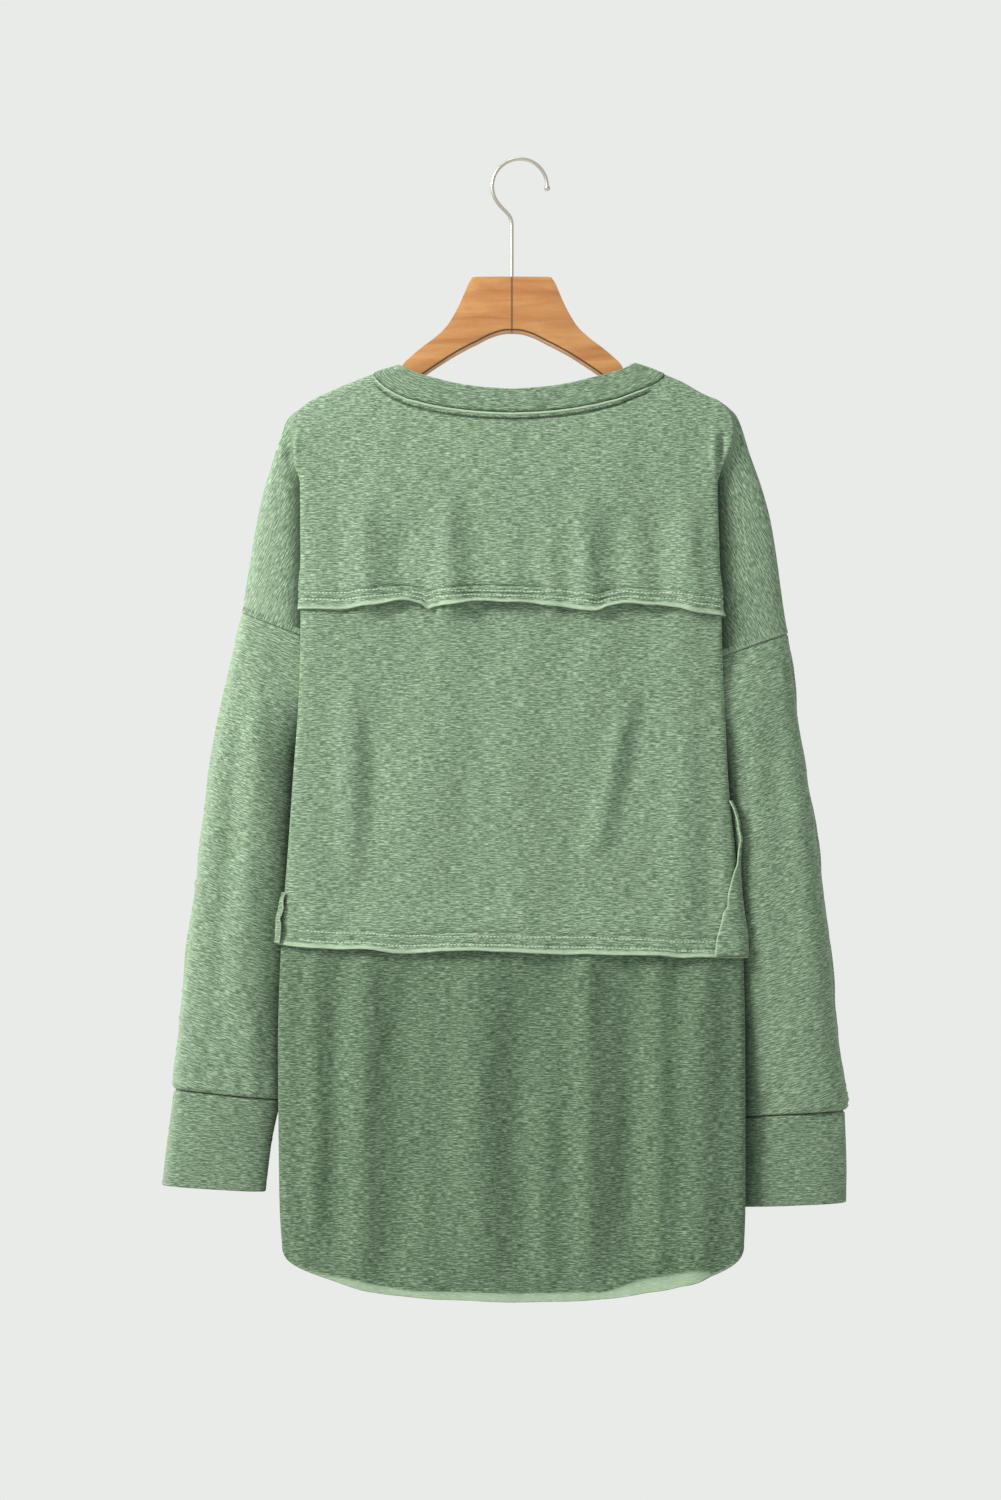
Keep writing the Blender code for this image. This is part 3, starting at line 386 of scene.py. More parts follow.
RISES = (
    Rise(0.0800, 0.0000, 0.0000),
    Rise(0.0972, 0.0008, 0.0018),
    Rise(0.1082, 0.0022, 0.0020),
    Rise(0.1152, 0.0028, 0.0024),
    Rise(0.1296, 0.0036, 0.0028),
    Rise(0.1438, 0.0038, 0.0030),
    Rise(0.1583, 0.0032, 0.0034),
    Rise(0.1660, 0.0022, 0.0034),
    Rise(0.1760, 0.0008, 0.0026),
)

SLEEVE_FACES = (
    SleeveFace(0.00, 0.35),
    SleeveFace(0.10, 0.80),
    SleeveFace(0.35, 1.03),
    SleeveFace(0.75, 0.98),
    SleeveFace(1.00, 0.35),
)

HEMS = (
    Hem(-1.00, -0.9055, -0.8720),
    Hem(-0.90, -0.9150, -0.8745),
    Hem(-0.75, -0.9240, -0.8770),
    Hem(-0.60, -0.9312, -0.8790),
    Hem(-0.30, -0.9360, -0.8800),
    Hem(0.08, -0.9376, -0.8800),
    Hem(0.40, -0.9360, -0.8800),
    Hem(0.60, -0.9290, -0.8780),
    Hem(0.81, -0.9218, -0.8760),
    Hem(0.96, -0.9125, -0.8730),
    Hem(1.00, -0.9050, -0.8720),
)

YOKE_EDGE = (
    Edge(-0.1730, -0.3719, 0.0000, 0.15),
    Edge(-0.1406, -0.3724, 0.0003, 0.20),
    Edge(-0.1196, -0.3695, 0.0015, 0.45),
    Edge(-0.0869, -0.3653, 0.0030, 0.95),
    Edge(-0.0738, -0.3675, 0.0016, 0.70),
    Edge(-0.0673, -0.3711, 0.0004, 0.10),
    Edge(-0.0542, -0.3688, 0.0012, 0.60),
    Edge(-0.0346, -0.3652, 0.0022, 0.90),
    Edge(0.0070, -0.3659, 0.0020, 0.90),
    Edge(0.0283, -0.3680, 0.0012, 0.70),
    Edge(0.0472, -0.3712, 0.0006, 0.30),
    Edge(0.0646, -0.3728, 0.0004, 0.20),
    Edge(0.0800, -0.3690, 0.0024, 0.80),
    Edge(0.0975, -0.3672, 0.0024, 0.75),
    Edge(0.1160, -0.3692, 0.0022, 0.80),
    Edge(0.1349, -0.3706, 0.0016, 0.60),
    Edge(0.1537, -0.3749, 0.0006, 0.45),
    Edge(0.1730, -0.3774, 0.0000, 0.30),
)

MIDDLE_EDGE = (
    Edge(-0.1880, -0.6470, 0.0000, 0.20),
    Edge(-0.1560, -0.6490, 0.0010, 0.50),
    Edge(-0.1180, -0.6500, 0.0018, 0.55),
    Edge(-0.0900, -0.6535, 0.0004, 0.20),
    Edge(-0.0550, -0.6505, 0.0020, 0.75),
    Edge(0.0000, -0.6515, 0.0014, 0.65),
    Edge(0.0560, -0.6540, 0.0004, 0.40),
    Edge(0.1000, -0.6535, 0.0018, 0.65),
    Edge(0.1450, -0.6565, 0.0010, 0.60),
    Edge(0.1900, -0.6570, 0.0000, 0.50),
)

FRONT_EDGE = (
    Edge(-0.1880, -0.6470, 0.0000, 0.20),
    Edge(-0.1100, -0.6505, 0.0014, 0.60),
    Edge(-0.0400, -0.6490, 0.0006, 0.40),
    Edge(0.0500, -0.6525, 0.0016, 0.65),
    Edge(0.1300, -0.6530, 0.0006, 0.40),
    Edge(0.1900, -0.6570, 0.0000, 0.30),
)

BACK_FOLDS = (
    Fold(-0.122, -0.262, -0.1193, -0.385, 0.012, 0.0044),
    Fold(-0.052, -0.262, -0.0504, -0.385, 0.012, 0.0056),
    Fold(0.030, -0.290, 0.0332, -0.385, 0.010, 0.0024),
    Fold(0.059, -0.262, 0.0627, -0.385, 0.012, 0.0054),
    Fold(0.144, -0.262, 0.148, -0.385, 0.014, 0.0040),
    Fold(-0.1316, -0.410, -0.1316, -0.600, 0.012, 0.0042),
    Fold(-0.060, -0.430, -0.070, -0.645, 0.024, 0.0032),
    Fold(0.010, -0.440, 0.000, -0.645, 0.026, 0.0028),
    Fold(0.1020, -0.415, 0.0660, -0.580, 0.011, 0.0044),
    Fold(0.145, -0.430, 0.138, -0.640, 0.016, 0.0036),
    Fold(-0.1600, -0.640, -0.1640, -0.900, 0.011, 0.0034, 0.12),
    Fold(-0.1210, -0.640, -0.1230, -0.930, 0.014, 0.0068, 0.12),
    Fold(-0.0283, -0.640, -0.0300, -0.935, 0.020, 0.0066, 0.12),
    Fold(0.0260, -0.760, 0.0270, -0.935, 0.012, 0.0030, 0.20),
    Fold(0.0611, -0.640, 0.0620, -0.935, 0.011, 0.0044, 0.12),
    Fold(0.1210, -0.640, 0.1200, -0.935, 0.011, 0.0048, 0.12),
    Fold(0.1560, -0.640, 0.1540, -0.925, 0.018, 0.0052, 0.12),
)

FRONT_FOLDS = (
    Fold(-0.110, -0.300, -0.128, -0.600, 0.020, 0.0052),
    Fold(-0.030, -0.330, -0.046, -0.640, 0.024, 0.0046),
    Fold(0.058, -0.310, 0.070, -0.620, 0.022, 0.0054),
    Fold(0.118, -0.360, 0.132, -0.620, 0.014, 0.0036),
    Fold(-0.136, -0.640, -0.140, -0.870, 0.014, 0.0040, 0.12),
    Fold(-0.080, -0.640, -0.086, -0.870, 0.018, 0.0056, 0.12),
    Fold(0.020, -0.650, 0.018, -0.870, 0.020, 0.0052, 0.12),
    Fold(0.108, -0.640, 0.112, -0.870, 0.016, 0.0056, 0.12),
)


@dataclass(frozen=True)
class GarmentForm:
    """The form that the body's cloth hangs in, from the same sizes as its solids.

    Its cloth is a uniform cubic B-spline across 37 places: 0 to 8 from the outer line of the
    left sleeve over the tucked side to the ridge, 9 to 27 across the body, 28 to 36 mirrored.
    Row 0 is the shoulder line, 1 the armhole's level and 2 the hem.
    """

    tip_x: float = 0.172
    tip_z: float = -0.205
    crest_radius: float = 0.009
    arm_z: float = -0.405
    cap_width: float = 0.0086
    cap_spread: float = 0.0170
    cap_rows: tuple[float, float] = (0.08, 0.34)
    ridge_rounding: float = 0.0007
    outer_rounding: float = 0.0004
    underarm_fade: float = 0.018
    half_gap: float = 0.0002
    side_hems: tuple[float, float, float] = (-0.8680, -0.8790, -0.8920)
    front_side_hems: tuple[float, float, float] = (-0.8680, -0.8695, -0.8710)
    neck_half: float = 0.1144
    neck_back_z: float = -0.210
    neck_front_z: float = -0.288
    rise_reach: float = 0.050
    neck_shift: float = 0.012
    shift_from: float = 0.055
    shift_over: float = 0.060
    shift_back: float = 0.050
    sleeve_closing: tuple[float, float] = (0.75, 0.25)
    sleeve_inward: tuple[float, float] = (0.3, 0.7)
    valley_closed: float = 0.0092
    turned_inset: float = 0.45
    turned_deep: float = 0.93
    turned_over: float = 0.15
    crown_power: float = 2.4
    neck_powers: tuple[float, float] = (0.6, 1.0)

    SIDE_PLACES = 9
    MIDDLE = 18
    LAST = 36
    TENTHS = 10
    SLEEVE = 4
    VALLEY = 5
    TURNED = 6
    BEHIND = 7
    RIDGE = 8

    crest: Track = field(default_factory=lambda: track_of(CREST, "across", "z"))
    ridge: dict[Side, Track] = field(default_factory=lambda: tracks_by_side(WIDTHS, "z", "ridge_"))
    outer: dict[Side, Track] = field(default_factory=lambda: tracks_by_side(WIDTHS, "z", "outer_"))
    inset: Track = field(default_factory=lambda: track_of(WIDTHS, "z", "inset"))
    valley: Track = field(default_factory=lambda: track_of(WIDTHS, "z", "valley"))
    depth: dict[str, Track] = field(
        default_factory=lambda: {
            name: track_of(DEPTHS, "drop", name) for name in ("centre", "ridge", "behind", "sleeve")
        }
    )
    hem: dict[Face, Track] = field(
        default_factory=lambda: {
            Face.BACK: track_of(HEMS, "across", "back_z"),
            Face.FRONT: track_of(HEMS, "across", "front_z"),
        }
    )
    rise: dict[Side, Track] = field(default_factory=lambda: tracks_by_side(RISES, "across", ""))

    def raised(self, points: np.ndarray) -> np.ndarray:
        """Points near the shoulder line lifted, and the right neck point moved out, as worn in.

        Args:
            points: a grid of points.

        Returns:
            The same points, moved.
        """
        x = np.abs(points[..., 0])
        rise = np.where(points[..., 0] < 0, self.rise[Side.LEFT](x), self.rise[Side.RIGHT](x))
        drop = self.crest(np.minimum(x, self.tip_x)) - points[..., 2]
        near = ease(1 - drop / self.rise_reach)
        points[..., 2] += rise * near
        inner = ease((points[..., 0] - self.shift_from) / self.shift_over)
        outer = ease((self.tip_x - points[..., 0]) / self.shift_back)
        points[..., 0] += self.neck_shift * inner * outer * near
        return points

    def deep_at(self, name: str, drop: np.ndarray) -> np.ndarray:
        """How far the cloth stands off the middle plane, round the shoulder line and below it.

        Args:
            name: the column of the depth table.
            drop: how far each point lies below the shoulder line.

        Returns:
            The distances.
        """
        drop = np.maximum(drop, 0.0)
        round_share = np.clip(1 - drop / self.crest_radius, 0.0, 1.0)
        crown = self.depth[name](self.crest_radius) * np.sqrt(1 - round_share**2)
        return np.where(drop < self.crest_radius, crown, self.depth[name](drop))

    def cap_turn(self, place: int) -> float:
        """How far round the shoulder's rounded end a place at a side lies, in radians."""
        return 0.5 * math.pi * (place + 0.5) / (self.RIDGE + 0.5)

    def side_heights(self, place: int, side: Side, face: Face) -> tuple[float, float, float]:
        """Top, armhole and hem height of one of the nine places at a side.

        Args:
            place: a place across the cloth.
            side: which side of the top.
            face: which face of the top.

        Returns:
            The three heights.
        """
        armhole = ARMHOLES[side]
        hems = self.front_side_hems if face is Face.FRONT else self.side_hems
        top = float(self.crest(self.tip_x - self.cap_width * (1 - math.cos(self.cap_turn(place)))))
        if place <= self.SLEEVE:
            across = SLEEVE_FACES[place].across
            return top, lerp(armhole.outer_z, armhole.inner_z, across), hems[0]
        ridge_hem = float(self.hem[face](float(side.value)))
        return {
            self.VALLEY: (top, armhole.inner_z, hems[0]),
            self.TURNED: (top, lerp(armhole.inner_z, self.arm_z, 0.5), hems[1]),
            self.BEHIND: (top, self.arm_z, hems[2]),
            self.RIDGE: (top, self.arm_z, ridge_hem),
        }[place]

    def heights(self, place: int, face: Face) -> tuple[float, float, float]:
        """Top, armhole and hem height of any whole place across the body.

        Args:
            place: a place across the cloth.
            face: which face of the top.

        Returns:
            The three heights.
        """
        if place < self.SIDE_PLACES:
            return self.side_heights(place, Side.LEFT, face)
        if place > self.LAST - self.SIDE_PLACES:
            return self.side_heights(self.LAST - place, Side.RIGHT, face)
        share = (place - self.MIDDLE) / self.TENTHS
        return float(self.crest(abs(share) * self.tip_x)), self.arm_z, float(self.hem[face](share))

    @staticmethod
    def height_of(levels: tuple[float, float, float], rows: np.ndarray) -> np.ndarray:
        """The heights at rows of a place whose three level heights are given."""
        top, arm, hem = levels
        return np.where(rows <= 1.0, lerp(top, arm, rows), lerp(arm, hem, rows - 1.0))

    def closing(self, rows: np.ndarray) -> np.ndarray:
        """How far the armhole has drawn the cloth to the sleeve's own section, by row."""
        start, over = self.sleeve_closing
        return ease((rows - start) / over)

    def hanging_point(
        self, place: int, side: Side, rows: np.ndarray, z: np.ndarray, drop: np.ndarray, seam_z: float
    ) -> np.ndarray:
        """A place at a side below the shoulder's rounded end, where the sleeve hangs free.

        Args:
            place: a place across the cloth.
            side: which side of the top.
            rows: rows of the cloth, 0 at the shoulder line, 1 at the armhole, 2 at the hem.
            z: the height of each point.
            drop: how far each point lies below the shoulder line.
            seam_z: height of the underarm end of the sleeve's seam.

        Returns:
            Half width, depth and height at each row.
        """
        if place <= self.SLEEVE:
            face_row = SLEEVE_FACES[place]
            armhole = ARMHOLES[side]
            level = np.minimum(rows, 1.0)
            outer_z = lerp(self.tip_z, armhole.outer_z, level)
            inner_z = lerp(self.tip_z, armhole.inner_z, level)
            outer_x = self.outer[side](outer_z) + self.outer_rounding
            inner_x = self.ridge[side](inner_z) + self.ridge_rounding - self.inset(inner_z)
            closing = self.closing(rows)
            inward = ease((face_row.across - self.sleeve_inward[0]) / self.sleeve_inward[1])
            full = lerp(face_row.deep, 1.0, inward)
            deep = lerp(face_row.deep, full, 1 - closing) * self.deep_at("sleeve", drop)
            return np.stack((lerp(outer_x, inner_x, face_row.across), deep, z), -1)
        ridge_x = self.ridge[side](z) + self.ridge_rounding
        if place == self.VALLEY:
            free = lerp(self.deep_at("behind", drop), self.valley_closed, self.closing(rows))
            below = ease((seam_z - z) / self.underarm_fade)
            return np.stack((ridge_x - self.inset(z), lerp(free, self.valley(z), below), z), -1)
        if place == self.TURNED:
            low = ease((self.arm_z - z) / self.turned_over)
            behind = self.deep_at("behind", drop)
            deep = lerp(behind, self.turned_deep * behind, low)
            return np.stack((ridge_x - self.turned_inset * self.inset(z), deep, z), -1)
        name = "behind" if place == self.BEHIND else "ridge"
        return np.stack((ridge_x, self.deep_at(name, drop), z), -1)

    def side_point(self, place: int, side: Side, rows: np.ndarray, face: Face) -> np.ndarray:
        """One of the nine places at a side, as half width, depth and height.

        Args:
            place: a place across the cloth.
            side: which side of the top.
            rows: rows of the cloth, 0 at the shoulder line, 1 at the armhole, 2 at the hem.
            face: which face of the top.

        Returns:
            Half width, depth and height at each row.
        """
        levels = self.side_heights(place, side, face)
        z = self.height_of(levels, rows)
        drop = levels[0] - z
        first, last = self.cap_rows
        hanging = ease((rows - first) / (last - first))[..., None]
        point = self.hanging_point(place, side, rows, z, drop, levels[1])
        turn = self.cap_turn(place)
        width = lerp(self.cap_width, self.cap_spread, ease(rows / last))
        outer_x = self.outer[side](lerp(self.tip_z, ARMHOLES[side].outer_z, rows))
        deep = lerp(self.deep_at("sleeve", drop), self.deep_at("ridge", drop), place / self.RIDGE)
        cap = np.stack((outer_x - width * (1 - math.cos(turn)), deep * math.sin(turn), z), -1)
        return lerp(cap, point, hanging)

    def net_point(self, place: int, rows: np.ndarray, face: Face) -> np.ndarray:
        """Points of the net at rows, with mirrored ones past the outer lines and side seams.

        Args:
            place: a place across the cloth.
            rows: rows of the cloth, 0 at the shoulder line, 1 at the armhole, 2 at the hem.
            face: which face of the top.

        Returns:
            X, depth and Z at each row.
        """
        if place < 0:
            return self.net_point(-1 - place, rows, face) * (1, -1, 1)
        if place > self.LAST:
            return self.net_point(2 * self.LAST + 1 - place, rows, face) * (1, -1, 1)
        if place < self.SIDE_PLACES or place > self.LAST - self.SIDE_PLACES:
            side = Side.LEFT if place < self.SIDE_PLACES else Side.RIGHT
            near = place if side is Side.LEFT else self.LAST - place
            point = self.side_point(near, side, rows, face)
            if near in (self.SLEEVE - 1, self.SLEEVE):
                twin = self.side_point(2 * self.SLEEVE + 1 - near, side, rows, face)
                seam_z = self.side_heights(self.VALLEY, side, face)[1]
                mix = ease((seam_z - twin[..., 2]) / self.underarm_fade) * (rows > 1.0)
                point = lerp(point, twin * (1, -1, 1), mix[..., None])
            return point * (side.value, 1, 1)
        share = (place - self.MIDDLE) / self.TENTHS
        levels = self.heights(place, face)
        z = self.height_of(levels, rows)
        drop = levels[0] - z
        crown = 1 - abs(share) ** self.crown_power
        deep = lerp(self.deep_at("ridge", drop), self.deep_at("centre", drop), crown)
        side = Side.LEFT if share < 0 else Side.RIGHT
        return np.stack((share * self.ridge[side](z), deep, z), -1)

    def lay(self, places: np.ndarray, rows: np.ndarray, face: Face) -> np.ndarray:
        """Points of the cloth.

        Args:
            places: the place of each column.
            rows: the rows of each column, one line of them a column.
            face: which face of the top.

        Returns:
            X, distance from the middle plane and Z, for each column and row.
        """
        points = np.empty((*rows.shape, 3))
        for column, place in enumerate(places):
            first = math.floor(place)
            points[column] = sum(
                weight * self.net_point(first - 1 + i, rows[column], face)
                for i, weight in enumerate(cubic_weights(place - first))
            )
        return self.raised(points)

    def row_at(self, place: float, z: float, face: Face) -> float:
        """The row at which a place across the body reaches a height.

        Args:
            place: a place across the cloth.
            z: the height wanted.
            face: which face of the top.

        Returns:
            The row.
        """
        first = math.floor(place)
        near = self.heights(max(first, 0), face)
        far = self.heights(min(first + 1, self.LAST), face)
        top, arm, hem = (lerp(a, b, place - first) for a, b in zip(near, far))
        return (top - z) / (top - arm) if z >= arm else 1.0 + (arm - z) / (arm - hem)

    def rows_at(self, places: np.ndarray, heights: np.ndarray, face: Face) -> np.ndarray:
        """The rows at which places across the body reach heights."""
        return np.array([self.row_at(p, z, face) for p, z in zip(places, heights)])

    def near(self, places: np.ndarray) -> np.ndarray:
        """How far places lie from the outer line of their own side."""
        return np.minimum(places, self.LAST - places)

    def x_at(self, places: np.ndarray, z: float) -> np.ndarray:
        """How far across places in the body lie at a height.

        Args:
            places: places across the cloth.
            z: the height.

        Returns:
            The X of each place.
        """
        share = np.clip((places - self.MIDDLE) / self.TENTHS, -1.0, 1.0)
        half = np.where(share < 0, self.ridge[Side.LEFT](z), self.ridge[Side.RIGHT](z))
        return share * half

    def neck_z(self, x: np.ndarray, face: Face) -> np.ndarray:
        """Height of the neck seam over places inside the neck.

        Args:
            x: how far across each point lies.
            face: which face of the top.

        Returns:
            The heights.
        """
        low = self.neck_front_z if face is Face.FRONT else self.neck_back_z
        power = self.neck_powers[face is Face.FRONT]
        share = np.clip(1 - (x / self.neck_half) ** 2, 0.0, 1.0) ** power
        return lerp(self.crest(self.neck_half), low, share)

    def neck_rows(self, places: np.ndarray, face: Face) -> np.ndarray:
        """The rows at which a panel starts: the shoulder line, or the neck seam inside the neck.

        Args:
            places: places across the cloth.
            face: which face of the top.

        Returns:
            The row of each place.
        """
        x = np.abs(places - self.MIDDLE) / self.TENTHS * self.tip_x
        rows = self.rows_at(places, self.neck_z(x, face), face)
        return np.where(x < self.neck_half - TINY, rows, 0.0)

    def edge_rows(self, edges: tuple, places: np.ndarray, face: Face, off: float = 0.0) -> np.ndarray:
        """The rows of a tier's raw edge, raised by an offset.

        Args:
            edges: the edge's points.
            places: places across the cloth.
            face: which face of the top.
            off: how far the edge is raised.

        Returns:
            The row of each place.
        """
        held = np.clip(places, self.RIDGE, self.LAST - self.RIDGE)
        z = track_of(edges, "x", "z")(self.x_at(held, edges[0].z))
        return self.rows_at(places, z + off, face)


FORM = GarmentForm()


def surface_normals(points: np.ndarray) -> np.ndarray:
    """Unit normals of a grid of points, by the differences between neighbours.

    Args:
        points: a grid of points.

    Returns:
        A unit normal at each point.
    """
    across = np.gradient(points, axis=0)
    down = np.gradient(points, axis=1)
    normals = np.cross(across, down)
    return normals / np.maximum(np.linalg.norm(normals, axis=-1, keepdims=True), NO_LENGTH)


def arc_lengths(points: np.ndarray, axis: int) -> np.ndarray:
    """Distances run along one way of a grid of points.

    Args:
        points: a grid of points.
        axis: the way to run along.

    Returns:
        The distances.
    """
    steps = np.linalg.norm(np.diff(points, axis=axis), axis=-1)
    pad = [(1, 0) if i == axis else (0, 0) for i in range(steps.ndim)]
    return np.cumsum(np.pad(steps, pad), axis=axis)


def crowded(fine: float, coarse: float, length: float, start: float, end: float) -> np.ndarray:
    """Steps from 0 to 1 down a length, fine at either end and coarser between.

    Args:
        fine: the spacing inside the end stretches, in metres.
        coarse: the spacing between them.
        length: the whole length.
        start: the length of the fine stretch at the start.
        end: the length of the fine stretch at the end.

    Returns:
        The steps as shares of the length.
    """
    parts = [np.arange(0.0, start, fine)] if start > 0 else [np.zeros(0)]
    inner = max(length - start - end, coarse)
    parts.append(start + np.arange(0, math.ceil(inner / coarse)) * inner / math.ceil(inner / coarse))
    if end > 0:
        parts.append(np.linspace(length - end, length, math.ceil(end / fine) + 1))
    else:
        parts.append(np.array([length]))
    return np.clip(np.concatenate(parts) / length, 0.0, 1.0)


@dataclass
class ClothGrid:
    """A sheet of cloth as a grid: its middle surface, pattern coordinates and painted light and shade."""

    points: np.ndarray
    thread: np.ndarray
    pale: np.ndarray
    wall: float
    closed: bool = False
    round_start: bool = False
    round_end: bool = True

    def half_walls(self) -> np.ndarray:
        """Half the cloth's thickness at each point, rounded off at its raw edges.

        Returns:
            The half thicknesses.
        """
        radius = self.wall / 2
        half = np.full(self.points.shape[:2], radius)
        run = arc_lengths(self.points, 1)
        for wanted, off in ((self.round_start, run), (self.round_end, run[:, -1:] - run)):
            if wanted:
                share = np.clip(1 - off / radius, 0.0, 1.0)
                half = np.minimum(half, radius * np.sqrt(1 - share**2))
        return half

    def mesh(self, name: str) -> bpy.types.Mesh:
        """The sheet as a closed wall with its pattern coordinates and painted light and shade.

        Args:
            name: the mesh's name.

        Returns:
            The new mesh, in the row's frame.
        """
        normals = surface_normals(self.wrapped(self.points))
        if self.closed:
            normals = normals[1:-1]
        half = self.half_walls()[..., None]
        outer = self.points + normals * half
        inner = self.points - normals * half
        columns, rows = self.points.shape[:2]
        vertices = np.concatenate((outer.reshape(-1, 3), inner.reshape(-1, 3)))
        vertices[:, 0] -= HOOK_REACH
        index = np.arange(columns * rows).reshape(columns, rows)
        if self.closed:
            index = np.concatenate((index, index[:1]))
        a, b = index[:-1, :-1].ravel(), index[1:, :-1].ravel()
        c, d = index[1:, 1:].ravel(), index[:-1, 1:].ravel()
        other = columns * rows
        faces = [np.stack((a, b, c, d), -1), np.stack((d, c, b, a), -1) + other]
        borders = [index[:, 0], index[::-1, -1]]
        if not self.closed:
            borders += [index[0, ::-1], index[-1, :]]
        for line in borders:
            near, far = line[:-1], line[1:]
            faces.append(np.stack((far, near, near + other, far + other), -1))
        quads = np.concatenate(faces)
        first, second, third = (vertices[quads[:, k]] for k in (0, 1, 2))
        if np.einsum("ij,ij->i", first, np.cross(second, third)).sum() < 0:
            quads = quads[:, ::-1]
        made = bpy.data.meshes.new(name)
        made.from_pydata(vertices.tolist(), [], quads.tolist())
        self.paint(made, quads)
        grid = bmesh.new()
        grid.from_mesh(made)
        bmesh.ops.remove_doubles(grid, verts=grid.verts, dist=TINY)
        grid.to_mesh(made)
        grid.free()
        made.shade_smooth()
        return made

    def wrapped(self, points: np.ndarray) -> np.ndarray:
        """The grid with a column more at either side where it is a tube."""
        return np.concatenate((points[-1:], points, points[:1])) if self.closed else points

    def paint(self, made: bpy.types.Mesh, quads: np.ndarray) -> None:
        """Give a mesh the sheet's pattern coordinates and painted light and shade.

        Args:
            made: the mesh.
            quads: the mesh's faces, by their vertices.
        """
        thread = np.concatenate((self.thread.reshape(-1, 2),) * 2)
        corners = thread[quads.ravel()]
        if self.closed:
            around = float(self.thread[..., 0].max() - self.thread[..., 0].min())
            fours = corners[:, 0].reshape(-1, 4)
            spread = fours.max(1, keepdims=True) - fours > 0.5 * around
            step = around * len(self.thread) / max(len(self.thread) - 1, 1)
            fours += np.where(spread, step, 0.0)
        layer = made.uv_layers.new(name="thread")
        layer.data.foreach_set("uv", corners.astype(np.float32).ravel())
        shade = made.attributes.new("pale", "FLOAT", "POINT")
        pale = np.concatenate((self.pale.ravel(),) * 2)
        shade.data.foreach_set("value", pale.astype(np.float32))

    def line_at(self, off: float, from_start: bool = False) -> tuple[np.ndarray, np.ndarray]:
        """The line at a distance from the sheet's last row, or from its first.

        Args:
            off: the distance along the cloth, in metres.
            from_start: whether it is counted from the first row.

        Returns:
            The line's points on the cloth's outer side, and the way the cloth faces there.
        """
        run = arc_lengths(self.points, 1)
        wanted = np.full(len(run), off) if from_start else run[:, -1] - off
        normals = surface_normals(self.points)
        outer = self.points + normals * self.wall / 2
        line = np.empty((len(outer), 3))
        facing = np.empty((len(outer), 3))
        for k in range(len(outer)):
            for axis in range(3):
                line[k, axis] = np.interp(wanted[k], run[k], outer[k, :, axis])
                facing[k, axis] = np.interp(wanted[k], run[k], normals[k, :, axis])
        return line, facing / np.linalg.norm(facing, axis=-1, keepdims=True)


def srgb(code: str) -> Colour:
    """A hex colour as the linear values that a shader takes.

    Args:
        code: the colour, such as #97A992.

    Returns:
        The linear red, green, blue and alpha.
    """
    parts = [int(code[i : i + 2], 16) / 255 for i in (1, 3, 5)]
    red, green, blue = (c / 12.92 if c <= 0.04045 else ((c + 0.055) / 1.055) ** 2.4 for c in parts)
    return red, green, blue, 1.0


def add_node(
    material: bpy.types.Material | bpy.types.World, kind: str, settings: dict, links: dict
) -> bpy.types.Node:
    """Add a node to a material.

    Args:
        material: what it belongs to.
        kind: the node's type.
        settings: attributes by name, and socket values by number or by name in brackets.
        links: the source socket for each input, by number or name.

    Returns:
        The new node.
    """
    tree = material.node_tree
    node = tree.nodes.new(kind)
    for name, value in settings.items():
        if isinstance(name, int):
            node.inputs[name].default_value = value
        elif name.startswith("["):
            node.inputs[name[1:-1]].default_value = value
        else:
            setattr(node, name, value)
    for name, source in links.items():
        tree.links.new(source, node.inputs[name])
    return node


def fill_ramp(node: bpy.types.Node, stops: tuple[tuple[float, Colour], ...]) -> None:
    """Give a colour ramp its stops.

    Args:
        node: the ramp's node.
        stops: each stop's position and colour.
    """
    ramp = node.color_ramp
    while len(ramp.elements) < len(stops):
        ramp.elements.new(0.5)
    for element, (position, colour) in zip(ramp.elements, stops):
        element.position = position
        element.color = colour


def blank_material(name: str) -> tuple[bpy.types.Material, bpy.types.Node]:
    """A new material and its Principled shader.

    Args:
        name: the material's name.

    Returns:
        The material and its shader's node.
    """
    material = bpy.data.materials.new(name)
    material.use_nodes = True
    return material, material.node_tree.nodes["Principled BSDF"]


